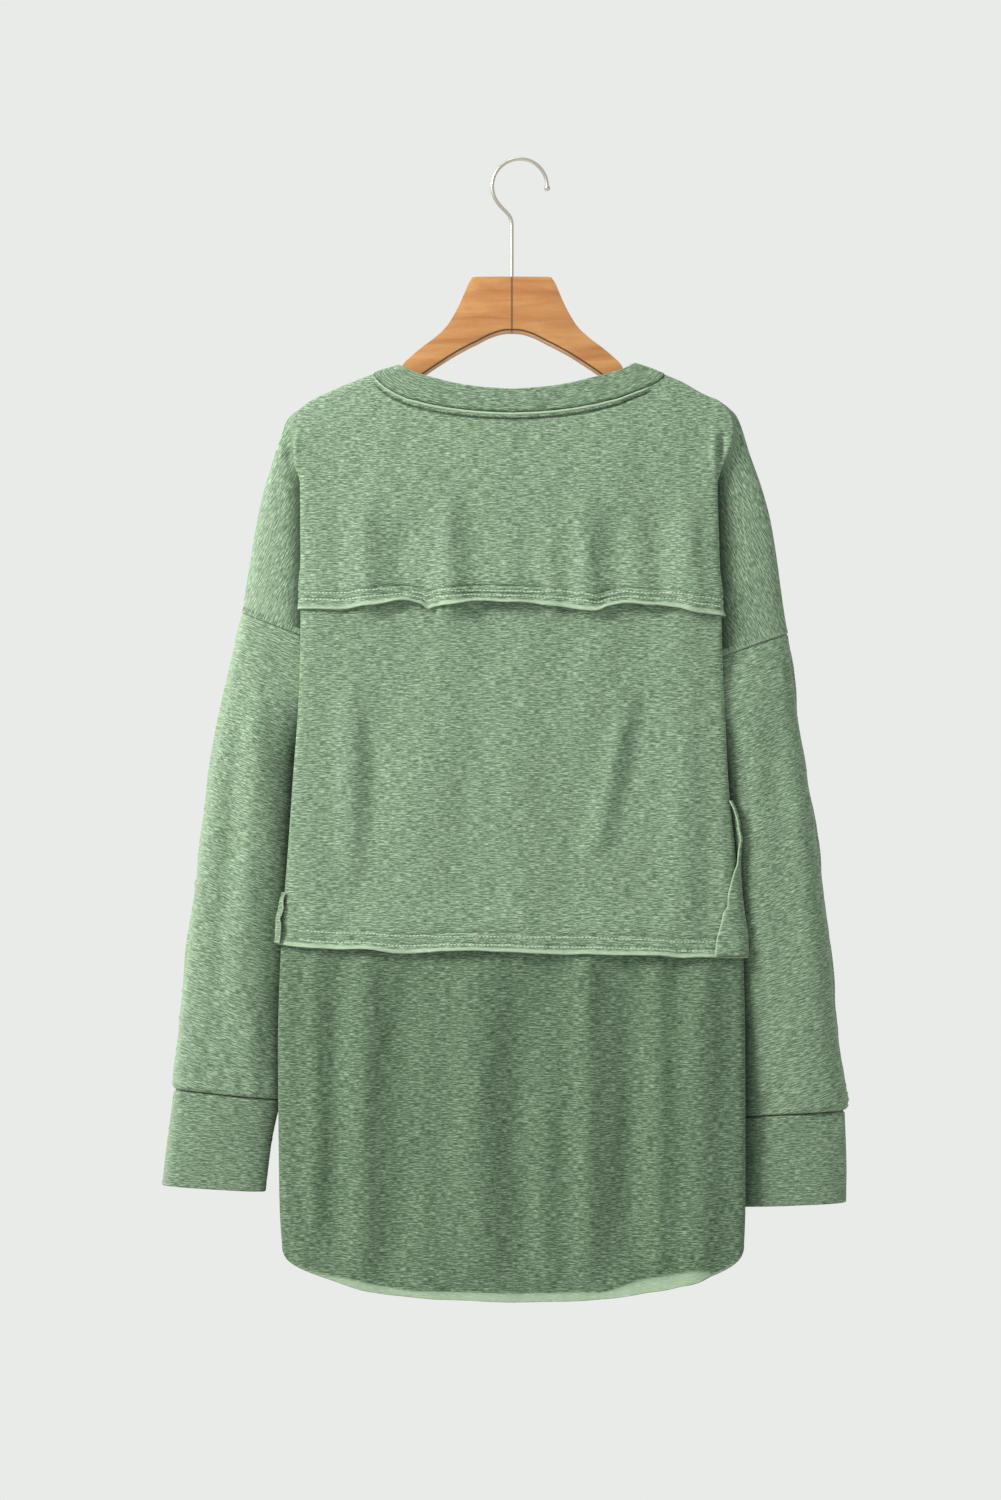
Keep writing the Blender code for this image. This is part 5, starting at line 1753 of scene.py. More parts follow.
@dataclass
class BodyCloth:
    """The back's three tiers and the front's three panels, with their raw edges."""

    wardrobe: Wardrobe
    tier_lap: float = 0.012
    lap_from: float = 6.4
    lap_over: float = 1.1
    back_fine: float = 0.115
    front_fine: float = 0.20
    side_fine: float = 0.11
    outermost: float = -0.5
    tier_from: float = 4.5
    tier_roll: float = 0.0046
    tier_rows: tuple[float, float] = (0.0066, 0.0148)
    wide_cut: tuple[float, float] = (0.50, 0.26)
    tier_cut: tuple[float, float] = (0.46, 0.31)
    made: dict[str, BodyPanel] = field(default_factory=dict)

    def yoke_edge(self, places: np.ndarray) -> np.ndarray:
        """The yoke's lower edge: raw across the back, and the sleeve seam past the tuck.

        Args:
            places: places across the cloth.

        Returns:
            The row of each place.
        """
        raw = FORM.edge_rows(YOKE_EDGE, places, Face.BACK)
        near = FORM.near(places)
        return lerp(1.0, raw, ease((near - FORM.VALLEY) / (FORM.BEHIND - FORM.VALLEY)))

    def middle_top(self, places: np.ndarray) -> np.ndarray:
        """The middle tier's top edge, lapped under the yoke and butted to it inside the tuck.

        Args:
            places: places across the cloth.

        Returns:
            The row of each place.
        """
        lapped = FORM.edge_rows(YOKE_EDGE, places, Face.BACK, self.tier_lap)
        share = ease((FORM.near(places) - self.lap_from) / self.lap_over)
        return lerp(self.yoke_edge(places), lapped, share)

    def panels(self) -> tuple[BodyPanel, ...]:
        """The back's three panels and the front's three, from the neck down.

        Returns:
            The panels, not yet made.
        """
        # dim is the darker copy of the jersey: painted shade on the lower tiers.
        jersey, dim = self.wardrobe.jersey, self.wardrobe.lower
        back, front = (self.back_fine, self.side_fine), (self.front_fine, self.side_fine)
        yoke = BodyPanel(
            "back_yoke_cloth",
            "back_yoke",
            self.wide_cut,
            jersey,
            Face.BACK,
            spread_places(self.outermost, *back),
            crowded(fine=0.0007, coarse=0.0022, length=0.19, start=0.008, end=0.020),
            lambda p: FORM.neck_rows(p, Face.BACK),
            self.yoke_edge,
            (*BACK_FOLDS, *YOKE_CREASES),
            YOKE_EDGE,
            self.yoke_edge,
            lift_from=5.6,
            lift_rows=0.20,
            roll_length=0.0052,
            grooves=(0.0082, 0.0140),
            neck_strip=True,
            dents=PLEAT_DENTS,
        )
        middle = BodyPanel(
            "back_middle_cloth",
            "back_middle",
            self.tier_cut,
            jersey,
            Face.BACK,
            spread_places(self.tier_from, *back),
            crowded(fine=0.0007, coarse=0.0024, length=0.29, start=0.0, end=0.022),
            self.middle_top,
            lambda p: FORM.edge_rows(MIDDLE_EDGE, p, Face.BACK),
            (*BACK_FOLDS, *MIDDLE_CREASES),
            MIDDLE_EDGE,
            lambda p: FORM.edge_rows(MIDDLE_EDGE, p, Face.BACK),
            roll_length=self.tier_roll,
            grooves=self.tier_rows,
        )
        lower = BodyPanel(
            "back_lower_cloth",
            "back_lower",
            self.tier_cut,
            dim,
            Face.BACK,
            spread_places(self.tier_from, *back),
            crowded(fine=0.0008, coarse=0.0024, length=0.30, start=0.0, end=0.024),
            lambda p: FORM.edge_rows(MIDDLE_EDGE, p, Face.BACK, self.tier_lap),
            lambda p: np.full_like(p, 2.0),
            (*BACK_FOLDS, *LOWER_CREASES),
            flare=HEM_FLARE,
        )
        front_top = BodyPanel(
            "front_upper_cloth",
            "front_body",
            self.wide_cut,
            jersey,
            Face.FRONT,
            spread_places(self.outermost, *front),
            crowded(fine=0.0010, coarse=0.0032, length=0.20, start=0.008, end=0.0),
            lambda p: FORM.neck_rows(p, Face.FRONT),
            lambda p: np.full_like(p, 1.0),
            (*FRONT_FOLDS, *FRONT_CREASES),
            neck_strip=True,
        )
        front_middle = BodyPanel(
            "front_middle_cloth",
            "front_body",
            self.tier_cut,
            jersey,
            Face.FRONT,
            spread_places(self.tier_from, *front),
            crowded(fine=0.0010, coarse=0.0035, length=0.25, start=0.0, end=0.022),
            lambda p: np.full_like(p, 1.0),
            lambda p: FORM.edge_rows(FRONT_EDGE, p, Face.FRONT),
            (*FRONT_FOLDS, *FRONT_CREASES),
            FRONT_EDGE,
            lambda p: FORM.edge_rows(FRONT_EDGE, p, Face.FRONT),
            roll_length=self.tier_roll,
            grooves=self.tier_rows,
        )
        front_lower = BodyPanel(
            "front_lower_cloth",
            "front_lower",
            self.tier_cut,
            dim,
            Face.FRONT,
            spread_places(self.tier_from, *front),
            crowded(fine=0.0010, coarse=0.0035, length=0.24, start=0.0, end=0.020),
            lambda p: FORM.edge_rows(FRONT_EDGE, p, Face.FRONT, self.tier_lap),
            lambda p: np.full_like(p, 2.0),
            (*FRONT_FOLDS, *FRONT_CREASES),
            flare=FRONT_FLARE,
        )
        return yoke, middle, lower, front_top, front_middle, front_lower

    def build(self) -> None:
        for panel in self.panels():
            grid = panel.make()
            piece = dressed(panel.name, grid.mesh(panel.name), panel.finish, (panel.node,))
            self.made[panel.name] = panel


PLEAT_DENTS = (
    Crease(-0.1840, -0.226, -0.1835, -0.250, 0.0030, -0.0036),
    Crease(-0.1775, -0.226, -0.1770, -0.262, 0.0028, 0.0016),
    Crease(0.1735, -0.226, 0.1722, -0.250, 0.0030, -0.0036),
    Crease(0.1665, -0.228, 0.1660, -0.262, 0.0028, 0.0016),
)
YOKE_CREASES = (
    Crease(-0.090, -0.300, -0.089, -0.365, 0.012, -0.0024),
    Crease(0.086, -0.290, 0.090, -0.365, 0.012, -0.0022),
    Crease(0.1177, -0.290, 0.118, -0.365, 0.010, -0.0018),
    Swell(11, 0.060, 0.00075, 2.0),
    Swell(12, 0.022, 0.00018),
)
MIDDLE_CREASES = (
    Crease(0.109, -0.440, 0.088, -0.550, 0.013, -0.0014),
    Crease(-0.114, -0.450, -0.112, -0.560, 0.011, -0.0022),
    Swell(21, 0.070, 0.00085, 2.2),
    Swell(22, 0.024, 0.00018),
)
LOWER_CREASES = (
    Crease(-0.144, -0.690, -0.146, -0.890, 0.010, -0.0024),
    Crease(-0.0873, -0.680, -0.0880, -0.910, 0.015, -0.0040),
    Crease(0.0080, -0.680, 0.0060, -0.900, 0.015, -0.0030),
    Crease(0.0960, -0.680, 0.0950, -0.910, 0.012, -0.0034),
    Swell(31, 0.060, 0.00085, 2.4),
    Swell(32, 0.024, 0.00018),
)
FRONT_CREASES = (
    Crease(-0.070, -0.340, -0.085, -0.560, 0.012, -0.0018),
    Crease(0.030, -0.420, 0.020, -0.620, 0.012, -0.0016),
    Crease(0.095, -0.360, 0.110, -0.590, 0.012, -0.0018),
    Swell(41, 0.070, 0.00050, 2.2),
)


@dataclass
class Neckband:
    """The doubled band round the neck, folded over at its free edge."""

    wardrobe: Wardrobe
    half: float = 0.0930
    back_z: float = -0.1897
    front_z: float = -0.268
    power: float = 1.8
    seam_gap: float = 0.0003
    proud: float = 0.0010
    wall: float = 0.0024
    stations: int = 90
    crowding: float = 0.92
    seam_powers: tuple[float, float] = (1.2, 2.0)
    tuck: float = 0.0012
    tuck_over: float = 0.0010
    swell: Swell = Swell(51, 0.030, 0.00025)
    swell_slant: float = 0.3
    swell_from: float = 0.004
    rim: float = 0.0018
    # rim and rim_pale paint a highlight on the fold; seam_dark, seam_fade and seam_shade paint shade at
    # the seam.
    rim_pale: float = 0.30
    seam_dark: float = 0.0022
    seam_fade: float = 0.0016
    seam_shade: float = 0.7
    cut: tuple[float, float] = (0.62, 0.024)

    def strip(self, shares: np.ndarray, spread: np.ndarray, face: Face) -> np.ndarray:
        """Points across one half of the band's ring.

        Args:
            shares: how far each row lies from the seam to the free edge.
            spread: how far across the neck each column lies, -1 to 1.
            face: the back or the front half.

        Returns:
            The points of the outer side, in the garment's frame.
        """
        low_seam = FORM.neck_front_z if face is Face.FRONT else FORM.neck_back_z
        low_edge = self.front_z if face is Face.FRONT else self.back_z
        neck_power = self.seam_powers[face is Face.FRONT]
        points = np.empty((len(spread), len(shares), 3))
        for j, share in enumerate(shares):
            half = lerp(FORM.neck_half - self.seam_gap, self.half, share)
            low = lerp(low_seam + self.seam_gap, low_edge, share)
            power = lerp(neck_power, self.power, share)
            dip = np.clip(1 - spread**2, 0.0, 1.0) ** (power / 2)
            z = lerp(FORM.crest(half), low, dip)
            places = FORM.MIDDLE + FORM.TENTHS * half * spread / FORM.tip_x
            rows = np.maximum(FORM.rows_at(places, z, face), 0.0)
            rows[np.abs(spread) >= 1.0] = 0.0
            points[:, j] = FORM.lay(places, rows[:, None], face)[:, 0]
        points[..., 1] = (points[..., 1] + FORM.half_gap) * face.value
        return points

    def build(self) -> None:
        """Make the band."""
        turns = np.linspace(-math.pi / 2, math.pi / 2, self.stations, endpoint=False)
        spread = np.sign(turns) * np.abs(np.sin(turns)) ** self.crowding
        shares = np.concatenate((np.linspace(0, 0.90, 16), np.linspace(0.92, 1.0, 8)))
        back = self.strip(shares, spread, Face.BACK)
        front = self.strip(shares, -spread, Face.FRONT)
        points = np.concatenate((back, front))
        normals = surface_normals(np.concatenate((points[-1:], points, points[:1])))[1:-1]
        normals = normals * -np.sign(normals[self.stations // 2, len(shares) // 3, 1])
        run = arc_lengths(points, 1)
        tucked = -self.tuck * ease((self.tuck_over - run) / self.tuck_over)
        swell = self.swell.push(points[..., 0] + self.swell_slant * points[..., 1], points[..., 2])
        out = self.proud - self.wall / 2 + tucked + swell * ease(run / self.swell_from)
        points = points + normals * out[..., None]
        around = arc_lengths(points, 0)[:, len(shares) // 2][:, None] + 0 * run
        thread = np.stack((around, -run), -1)
        # Painted highlight along the folded free edge and painted shade at the seam.
        rim = ease((run - (run[:, -1:] - self.rim)) / self.rim)
        seam = ease((self.seam_dark - run) / self.seam_fade)
        pale = self.rim_pale * rim - self.seam_shade * seam
        grid = ClothGrid(points[::-1], thread[::-1], pale[::-1], self.wall, True, False, True)
        name = "neckband_cloth"
        piece = dressed(name, grid.mesh(name), self.wardrobe.rib, ("neckband",))


@dataclass(frozen=True)
class SleeveRing:
    """Outer and inner point of a section through a sleeve or cuff, and its half depth.

    Its front half reaches further in than its back half by `front_in`.
    """

    outer_x: float
    outer_z: float
    inner_x: float
    inner_z: float
    deep: float
    front_in: float = 0.0


SLEEVES = {
    Side.LEFT: (
        SleeveRing(0.2300, -0.4050, 0.1480, -0.4380, 0.0175, 0.004),
        SleeveRing(0.2376, -0.4464, 0.1700, -0.4750, 0.0205, 0.012),
        SleeveRing(0.2472, -0.4870, 0.1812, -0.5120, 0.0225, 0.016),
        SleeveRing(0.2579, -0.5700, 0.1822, -0.5850, 0.0240, 0.014),
        SleeveRing(0.2681, -0.6430, 0.1838, -0.6550, 0.0225, 0.005),
        SleeveRing(0.2727, -0.6920, 0.1852, -0.7020, 0.0190, 0.002),
        SleeveRing(0.2790, -0.7520, 0.1885, -0.7620, 0.0145),
        SleeveRing(0.2796, -0.7670, 0.1895, -0.7760, 0.0120),
    ),
    Side.RIGHT: (
        SleeveRing(0.2322, -0.4250, 0.1500, -0.4550, 0.0175),
        SleeveRing(0.2376, -0.4620, 0.1640, -0.4870, 0.0205),
        SleeveRing(0.2442, -0.5080, 0.1710, -0.5280, 0.0225),
        SleeveRing(0.2524, -0.5690, 0.1760, -0.5850, 0.0240),
        SleeveRing(0.2630, -0.6514, 0.1810, -0.6630, 0.0225),
        SleeveRing(0.2720, -0.7334, 0.1845, -0.7420, 0.0185),
        SleeveRing(0.2770, -0.7744, 0.1860, -0.7830, 0.0140),
        SleeveRing(0.2768, -0.7845, 0.1862, -0.7900, 0.0120),
    ),
}

CUFFS = {
    Side.LEFT: (
        SleeveRing(0.2792, -0.7680, 0.1905, -0.7770, 0.0115),
        SleeveRing(0.2842, -0.8060, 0.1980, -0.8140, 0.0105),
        SleeveRing(0.2892, -0.8470, 0.2034, -0.8525, 0.0090),
    ),
    Side.RIGHT: (
        SleeveRing(0.2752, -0.7855, 0.1862, -0.7910, 0.0115),
        SleeveRing(0.2762, -0.8230, 0.1862, -0.8280, 0.0105),
        SleeveRing(0.2762, -0.8613, 0.1860, -0.8650, 0.0090),
    ),
}

SLEEVE_CREASES = {
    Side.LEFT: (
        Crease(0.2226, -0.450, 0.2430, -0.700, 0.011, -0.0028),
        Crease(0.2060, -0.430, 0.2230, -0.680, 0.010, 0.0022),
    ),
    Side.RIGHT: (
        Crease(0.2140, -0.460, 0.2330, -0.700, 0.013, -0.0022),
        Crease(0.1960, -0.460, 0.2080, -0.680, 0.010, 0.0016),
    ),
}

SLEEVE_SWELLS = {
    Side.LEFT: (Swell(60, 0.075, 0.0015, 2.0), Swell(61, 0.030, 0.00045, 1.4)),
    Side.RIGHT: (Swell(70, 0.075, 0.0015, 2.0), Swell(71, 0.030, 0.00045, 1.4)),
}
WRIST_GATHER = Swell(62, 0.012, 0.0007, 3.0)
CUFF_SWELLS = {
    Side.LEFT: Swell(64, 0.045, 0.00045, 1.6),
    Side.RIGHT: Swell(74, 0.045, 0.00045, 1.6),
}


@dataclass
class Tube:
    """A sleeve or cuff as a tube through its sections."""

    side: Side
    rings: tuple[SleeveRing, ...]
    fractions: np.ndarray
    around: int = 12

    def points(self) -> np.ndarray:
        """Points round and down the tube, with its columns running down.

        Returns:
            The points, in the garment's frame.
        """
        keys = list(range(len(self.rings)))
        names = ("outer_x", "outer_z", "inner_x", "inner_z", "deep", "front_in")
        at = self.fractions * keys[-1]
        tracks = {name: Track(keys, [getattr(r, name) for r in self.rings])(at) for name in names}
        net = []
        for front, faces in ((0.0, SLEEVE_FACES), (1.0, SLEEVE_FACES[::-1])):
            for face in faces:
                inner_x = tracks["inner_x"] - front * tracks["front_in"]
                x = lerp(tracks["outer_x"] + FORM.outer_rounding, inner_x, face.across)
                z = lerp(tracks["outer_z"], tracks["inner_z"], face.across)
                deep = (2 * front - 1) * face.deep * tracks["deep"]
                net.append(np.stack((self.side.value * x, deep, z), -1))
        count = len(net)
        columns = []
        for first in range(count):
            for step in range(self.around):
                weights = cubic_weights(step / self.around)
                columns.append(sum(w * net[(first - 1 + i) % count] for i, w in enumerate(weights)))
        points = np.stack(columns)
        return points if self.side is Side.LEFT else points[::-1]


def tube_normals(points: np.ndarray) -> np.ndarray:
    """Normals of a tube's grid, pointing out of it.

    Args:
        points: a grid of points.

    Returns:
        A unit normal at each point.
    """
    normals = surface_normals(np.concatenate((points[-1:], points, points[:1])))[1:-1]
    centre = points.mean(axis=0, keepdims=True)
    outward = np.sign((normals * (points - centre)).sum())
    return normals * outward


@dataclass
class Sleeve:
    """A long sleeve set on at the dropped shoulder, and its doubled cuff."""

    side: Side
    wardrobe: Wardrobe
    wall: float = 0.0012
    cuff_wall: float = 0.0018
    tuck: float = 0.0016
    cut: tuple[float, float] = (0.20, 0.42)
    cuff_cut: tuple[float, float] = (0.19, 0.085)
    # rim and rims paint a highlight along the outer line, stronger on the left where the key light falls;
    # shade, hollow_fade and hollows paint shade along the inner side, in the body's shadow.
    rim: float = 0.010
    shade: float = 0.80
    hollow_fade: float = 0.10
    back_fade: float = 0.006
    fold_from: float = 0.03
    fold_to: float = 0.006
    top_tuck: float = 0.0009
    top_over: float = 0.003
    tuck_over: float = 0.0022
    swelling: float = 0.0007
    swelling_at: float = 0.0040
    swelling_half: float = 0.0030
    gather_z: float = -0.742
    gather_over: float = 0.022
    cuff_tuck: float = 0.0016
    cuff_over: float = 0.0020
    cuff_fold: float = 0.0002
    cuff_fold_at: float = 0.010
    cuff_fold_over: float = 0.004
    cuff_pattern: float = 0.5
    cuff_pale: float = 0.8
    deep_share: float = 0.35
    hollows: dict[Side, tuple[float, float]] = field(
        default_factory=lambda: {Side.LEFT: (0.017, -0.66), Side.RIGHT: (0.030, -1.0)}
    )
    rims: dict[Side, float] = field(default_factory=lambda: {Side.LEFT: 0.38, Side.RIGHT: 0.15})

    def first_ring(self) -> SleeveRing:
        """The sleeve's top section, hidden just inside the armhole's edge.

        Returns:
            The section.
        """
        armhole = ARMHOLES[self.side]
        inner_x = float(FORM.ridge[self.side](armhole.inner_z) - FORM.inset(armhole.inner_z))
        drop = FORM.tip_z - lerp(armhole.outer_z, armhole.inner_z, self.deep_share)
        outer_x = float(FORM.outer[self.side](armhole.outer_z))
        deep = float(FORM.depth["sleeve"](drop))
        return SleeveRing(outer_x, armhole.outer_z, inner_x, armhole.inner_z, deep)

    def folds(self, points: np.ndarray) -> np.ndarray:
        """How far the sleeve's soft folds push its cloth out.

        Args:
            points: a grid of points.

        Returns:
            The distances.
        """
        x = np.abs(points[..., 0]) + UNDER_FRONT * np.sign(points[..., 1])
        z = points[..., 2]
        total = sum(swell.push(x, z) for swell in SLEEVE_SWELLS[self.side])
        on_back = ease(-points[..., 1] / self.back_fade)
        for crease in SLEEVE_CREASES[self.side]:
            total = total + crease.push(np.abs(points[..., 0]), z) * on_back
        if self.side is Side.LEFT:
            total = total + WRIST_GATHER.push(x, z) * ease((self.gather_z - z) / self.gather_over)
        return total

    def build(self) -> None:
        """Make the sleeve and its cuff."""
        self.build_sleeve()
        self.build_cuff()

    def build_sleeve(self) -> None:
        """Make the sleeve, tucked in at the armhole and drawn in above the cuff."""
        rings = (self.first_ring(), *SLEEVES[self.side])
        steps = crowded(fine=0.0025, coarse=0.006, length=0.9, start=0.03, end=0.04)
        points = Tube(self.side, rings, steps).points()
        run = arc_lengths(points, 1)
        off = run[:, -1:] - run
        out = self.folds(points) * ease(run / self.fold_from) * ease(off / self.fold_to)
        drawn = ease((self.tuck_over - off) / self.tuck_over) ** 2
        out = out - self.top_tuck * ease((self.top_over - run) / self.top_over) - self.tuck * drawn
        out = out + self.swelling * bump(off, self.swelling_at, self.swelling_half)
        points = points + tube_normals(points) * (out - self.wall / 2)[..., None]
        around = arc_lengths(points, 0).mean(axis=1)[:, None] + 0 * run
        thread = np.stack((around, -run), -1)
        grid = ClothGrid(points, thread, self.painted_rim_and_hollow_shade(points), self.wall, True, False, False)
        self.place("sleeve", grid, self.wardrobe.jersey, Slot.JERSEY, self.cut)

    def build_cuff(self) -> None:
        """Make the doubled cuff, tucked in where the sleeve meets it."""
        steps = crowded(fine=0.008, coarse=0.022, length=1.0, start=0.06, end=0.06)
        points = Tube(self.side, CUFFS[self.side], steps).points()
        run = arc_lengths(points, 1)
        off = run[:, -1:] - run
        x = np.abs(points[..., 0]) + UNDER_FRONT * np.sign(points[..., 1])
        out = CUFF_SWELLS[self.side].push(x, points[..., 2])
        out = out - self.cuff_tuck * ease((self.cuff_over - run) / self.cuff_over)
        out = out + self.cuff_fold * ease((self.cuff_fold_at - off) / self.cuff_fold_over)
        points = points + tube_normals(points) * (out - self.cuff_wall / 2)[..., None]
        around = arc_lengths(points, 0).mean(axis=1)[:, None] + 0 * run
        thread = np.stack((around, -run + self.cuff_pattern), -1)
        # The cuff carries the same painted highlight and shade, a little weaker.
        pale = self.cuff_pale * self.painted_rim_and_hollow_shade(points)
        grid = ClothGrid(points, thread, pale, self.cuff_wall, True, False, True)
        self.place("cuff", grid, self.wardrobe.rib, Slot.RIB, self.cuff_cut)

    def place(
        self, what: str, grid: ClothGrid, finish: bpy.types.Material, slot: Slot, cut: tuple[float, float]
    ) -> None:
        """Dress a tube of cloth.

        Args:
            what: the node's name without its side.
            grid: the tube's cloth.
            finish: its material.
            slot: the record's slot for it; not used.
            cut: the width and length of its flat sheet; not used.
        """
        node = f"{what}_{self.side.name.lower()}"
        name = f"{node}_cloth"
        piece = dressed(name, grid.mesh(name), finish, (node,))

    def painted_rim_and_hollow_shade(self, points: np.ndarray) -> np.ndarray:
        """Painted light and shade on a sleeve: a painted highlight along its outer line, painted shade
        along its inner side next to the body.

        Args:
            points: a grid of points.

        Returns:
            Shares of the painted highlight colour, and below 0 of the painted shade colour.
        """
        out = np.abs(points[..., 0])
        rim = self.rims[self.side] * ease(1 - (out.max(0, keepdims=True) - out) / self.rim)
        hollow, low_z = self.hollows[self.side]
        inside = ease(1 - (out - out.min(0, keepdims=True)) / hollow)
        return rim - self.shade * inside * ease((points[..., 2] - low_z) / self.hollow_fade)


@dataclass(frozen=True)
class SeamEdge:
    """A point on the raw edge of a side's seam allowance."""

    z: float
    x: float


SEAM_EDGES = {
    Side.LEFT: (
        SeamEdge(-0.6040, 0.1856),
        SeamEdge(-0.6104, 0.1874),
        SeamEdge(-0.6170, 0.1866),
        SeamEdge(-0.6260, 0.1891),
        SeamEdge(-0.6298, 0.1881),
        SeamEdge(-0.6380, 0.1888),
        SeamEdge(-0.6470, 0.1902),
    ),
    Side.RIGHT: (
        SeamEdge(-0.5290, 0.1785),
        SeamEdge(-0.5378, 0.1819),
        SeamEdge(-0.5487, 0.1849),
        SeamEdge(-0.5617, 0.1864),
        SeamEdge(-0.5716, 0.1850),
        SeamEdge(-0.5806, 0.1843),
        SeamEdge(-0.5875, 0.1815),
        SeamEdge(-0.5995, 0.1779),
        SeamEdge(-0.6065, 0.1760),
        SeamEdge(-0.6154, 0.1757),
        SeamEdge(-0.6213, 0.1720),
        SeamEdge(-0.6293, 0.1705),
        SeamEdge(-0.6412, 0.1670),
        SeamEdge(-0.6571, 0.1650),
    ),
}


@dataclass
class SeamAllowance:
    """The raw cloth past a side seam, lapped round the body's side onto the middle tier."""

    side: Side
    wardrobe: Wardrobe
    lift: float = 0.0022
    wall: float = 0.0010
    columns: int = 26
    rows: int = 70
    place: float = 7.0
    foot: float = 0.0012
    to_ridge: float = 0.985
    start_over: float = 0.012
    start_lift: float = 0.35
    edge_lift: float = 0.0007
    ripple: Swell = Swell(81, 0.016, 0.0004, 1.0)
    past_from: float = 0.2
    # edge_pale, pale_over and pale_fade paint a highlight along the allowance's raw edge.
    edge_pale: float = 0.7
    pale_over: float = 0.0016
    pale_fade: float = 0.0014
    cuts: dict[Side, tuple[float, float]] = field(
        default_factory=lambda: {Side.LEFT: (0.018, 0.044), Side.RIGHT: (0.032, 0.133)}
    )

    def build(self, middle: BodyPanel) -> None:
        """Make the allowance on the middle tier's own surface.

        Args:
            middle: the middle tier's panel, which gives the lift near its raw edge.
        """
        edge = SEAM_EDGES[self.side]
        heights = np.linspace(edge[0].z, edge[-1].z + self.foot, self.rows)
        edge_x = track_of(edge, "z", "x")(heights)
        ridge_x = FORM.ridge[self.side](heights)
        share = np.minimum(edge_x / ridge_x, self.to_ridge)
        past = np.maximum(edge_x - self.to_ridge * ridge_x, 0.0)
        across = np.linspace(0, 1, self.columns)[:, None]
        near = lerp(self.place, FORM.MIDDLE - FORM.TENTHS * share[None, :], across)
        points = np.empty((self.columns, self.rows, 3))
        lifts = np.empty((self.columns, self.rows))
        for k in range(self.columns):
            places = near[k] if self.side is Side.LEFT else FORM.LAST - near[k]
            rows = FORM.rows_at(places, heights, Face.BACK)
            points[k] = FORM.lay(places, rows[:, None], Face.BACK)[:, 0]
            lifts[k] = middle.lift_at(places, rows - middle.edge_rows(places))
        start = ease((edge[0].z - points[..., 2]) / self.start_over)
        normals = surface_normals(points)
        if normals[self.columns // 2, self.rows // 2, 1] < 0:
            normals = -normals
        ripple = self.ripple.push(points[..., 2], points[..., 0])
        lifted = lifts + self.lift * lerp(self.start_lift, 1.0, start)
        out = lifted + (self.edge_lift + ripple) * ease(across)
        points = points + normals * out[..., None]
        outwards = ease((across - self.past_from) / (1 - self.past_from))
        points[..., 0] += self.side.value * past[None, :] * outwards
        points[..., 1] *= -1
        run = arc_lengths(points, 0)
        # Painted highlight along the raw edge.
        pale = self.edge_pale * ease((run - (run[-1:] - self.pale_over)) / self.pale_fade)
        thread = np.stack((run, points[..., 2]), -1)
        points, thread, pale = (layer.swapaxes(0, 1) for layer in (points, thread, pale))
        if self.side is Side.LEFT:
            points, thread, pale = points[::-1], thread[::-1], pale[::-1]
        grid = ClothGrid(points, thread, pale, self.wall, False, False, True)
        node = f"side_seam_{self.side.name.lower()}"
        name = f"{node}_cloth"
        piece = dressed(name, grid.mesh(name), self.wardrobe.jersey, (node,))


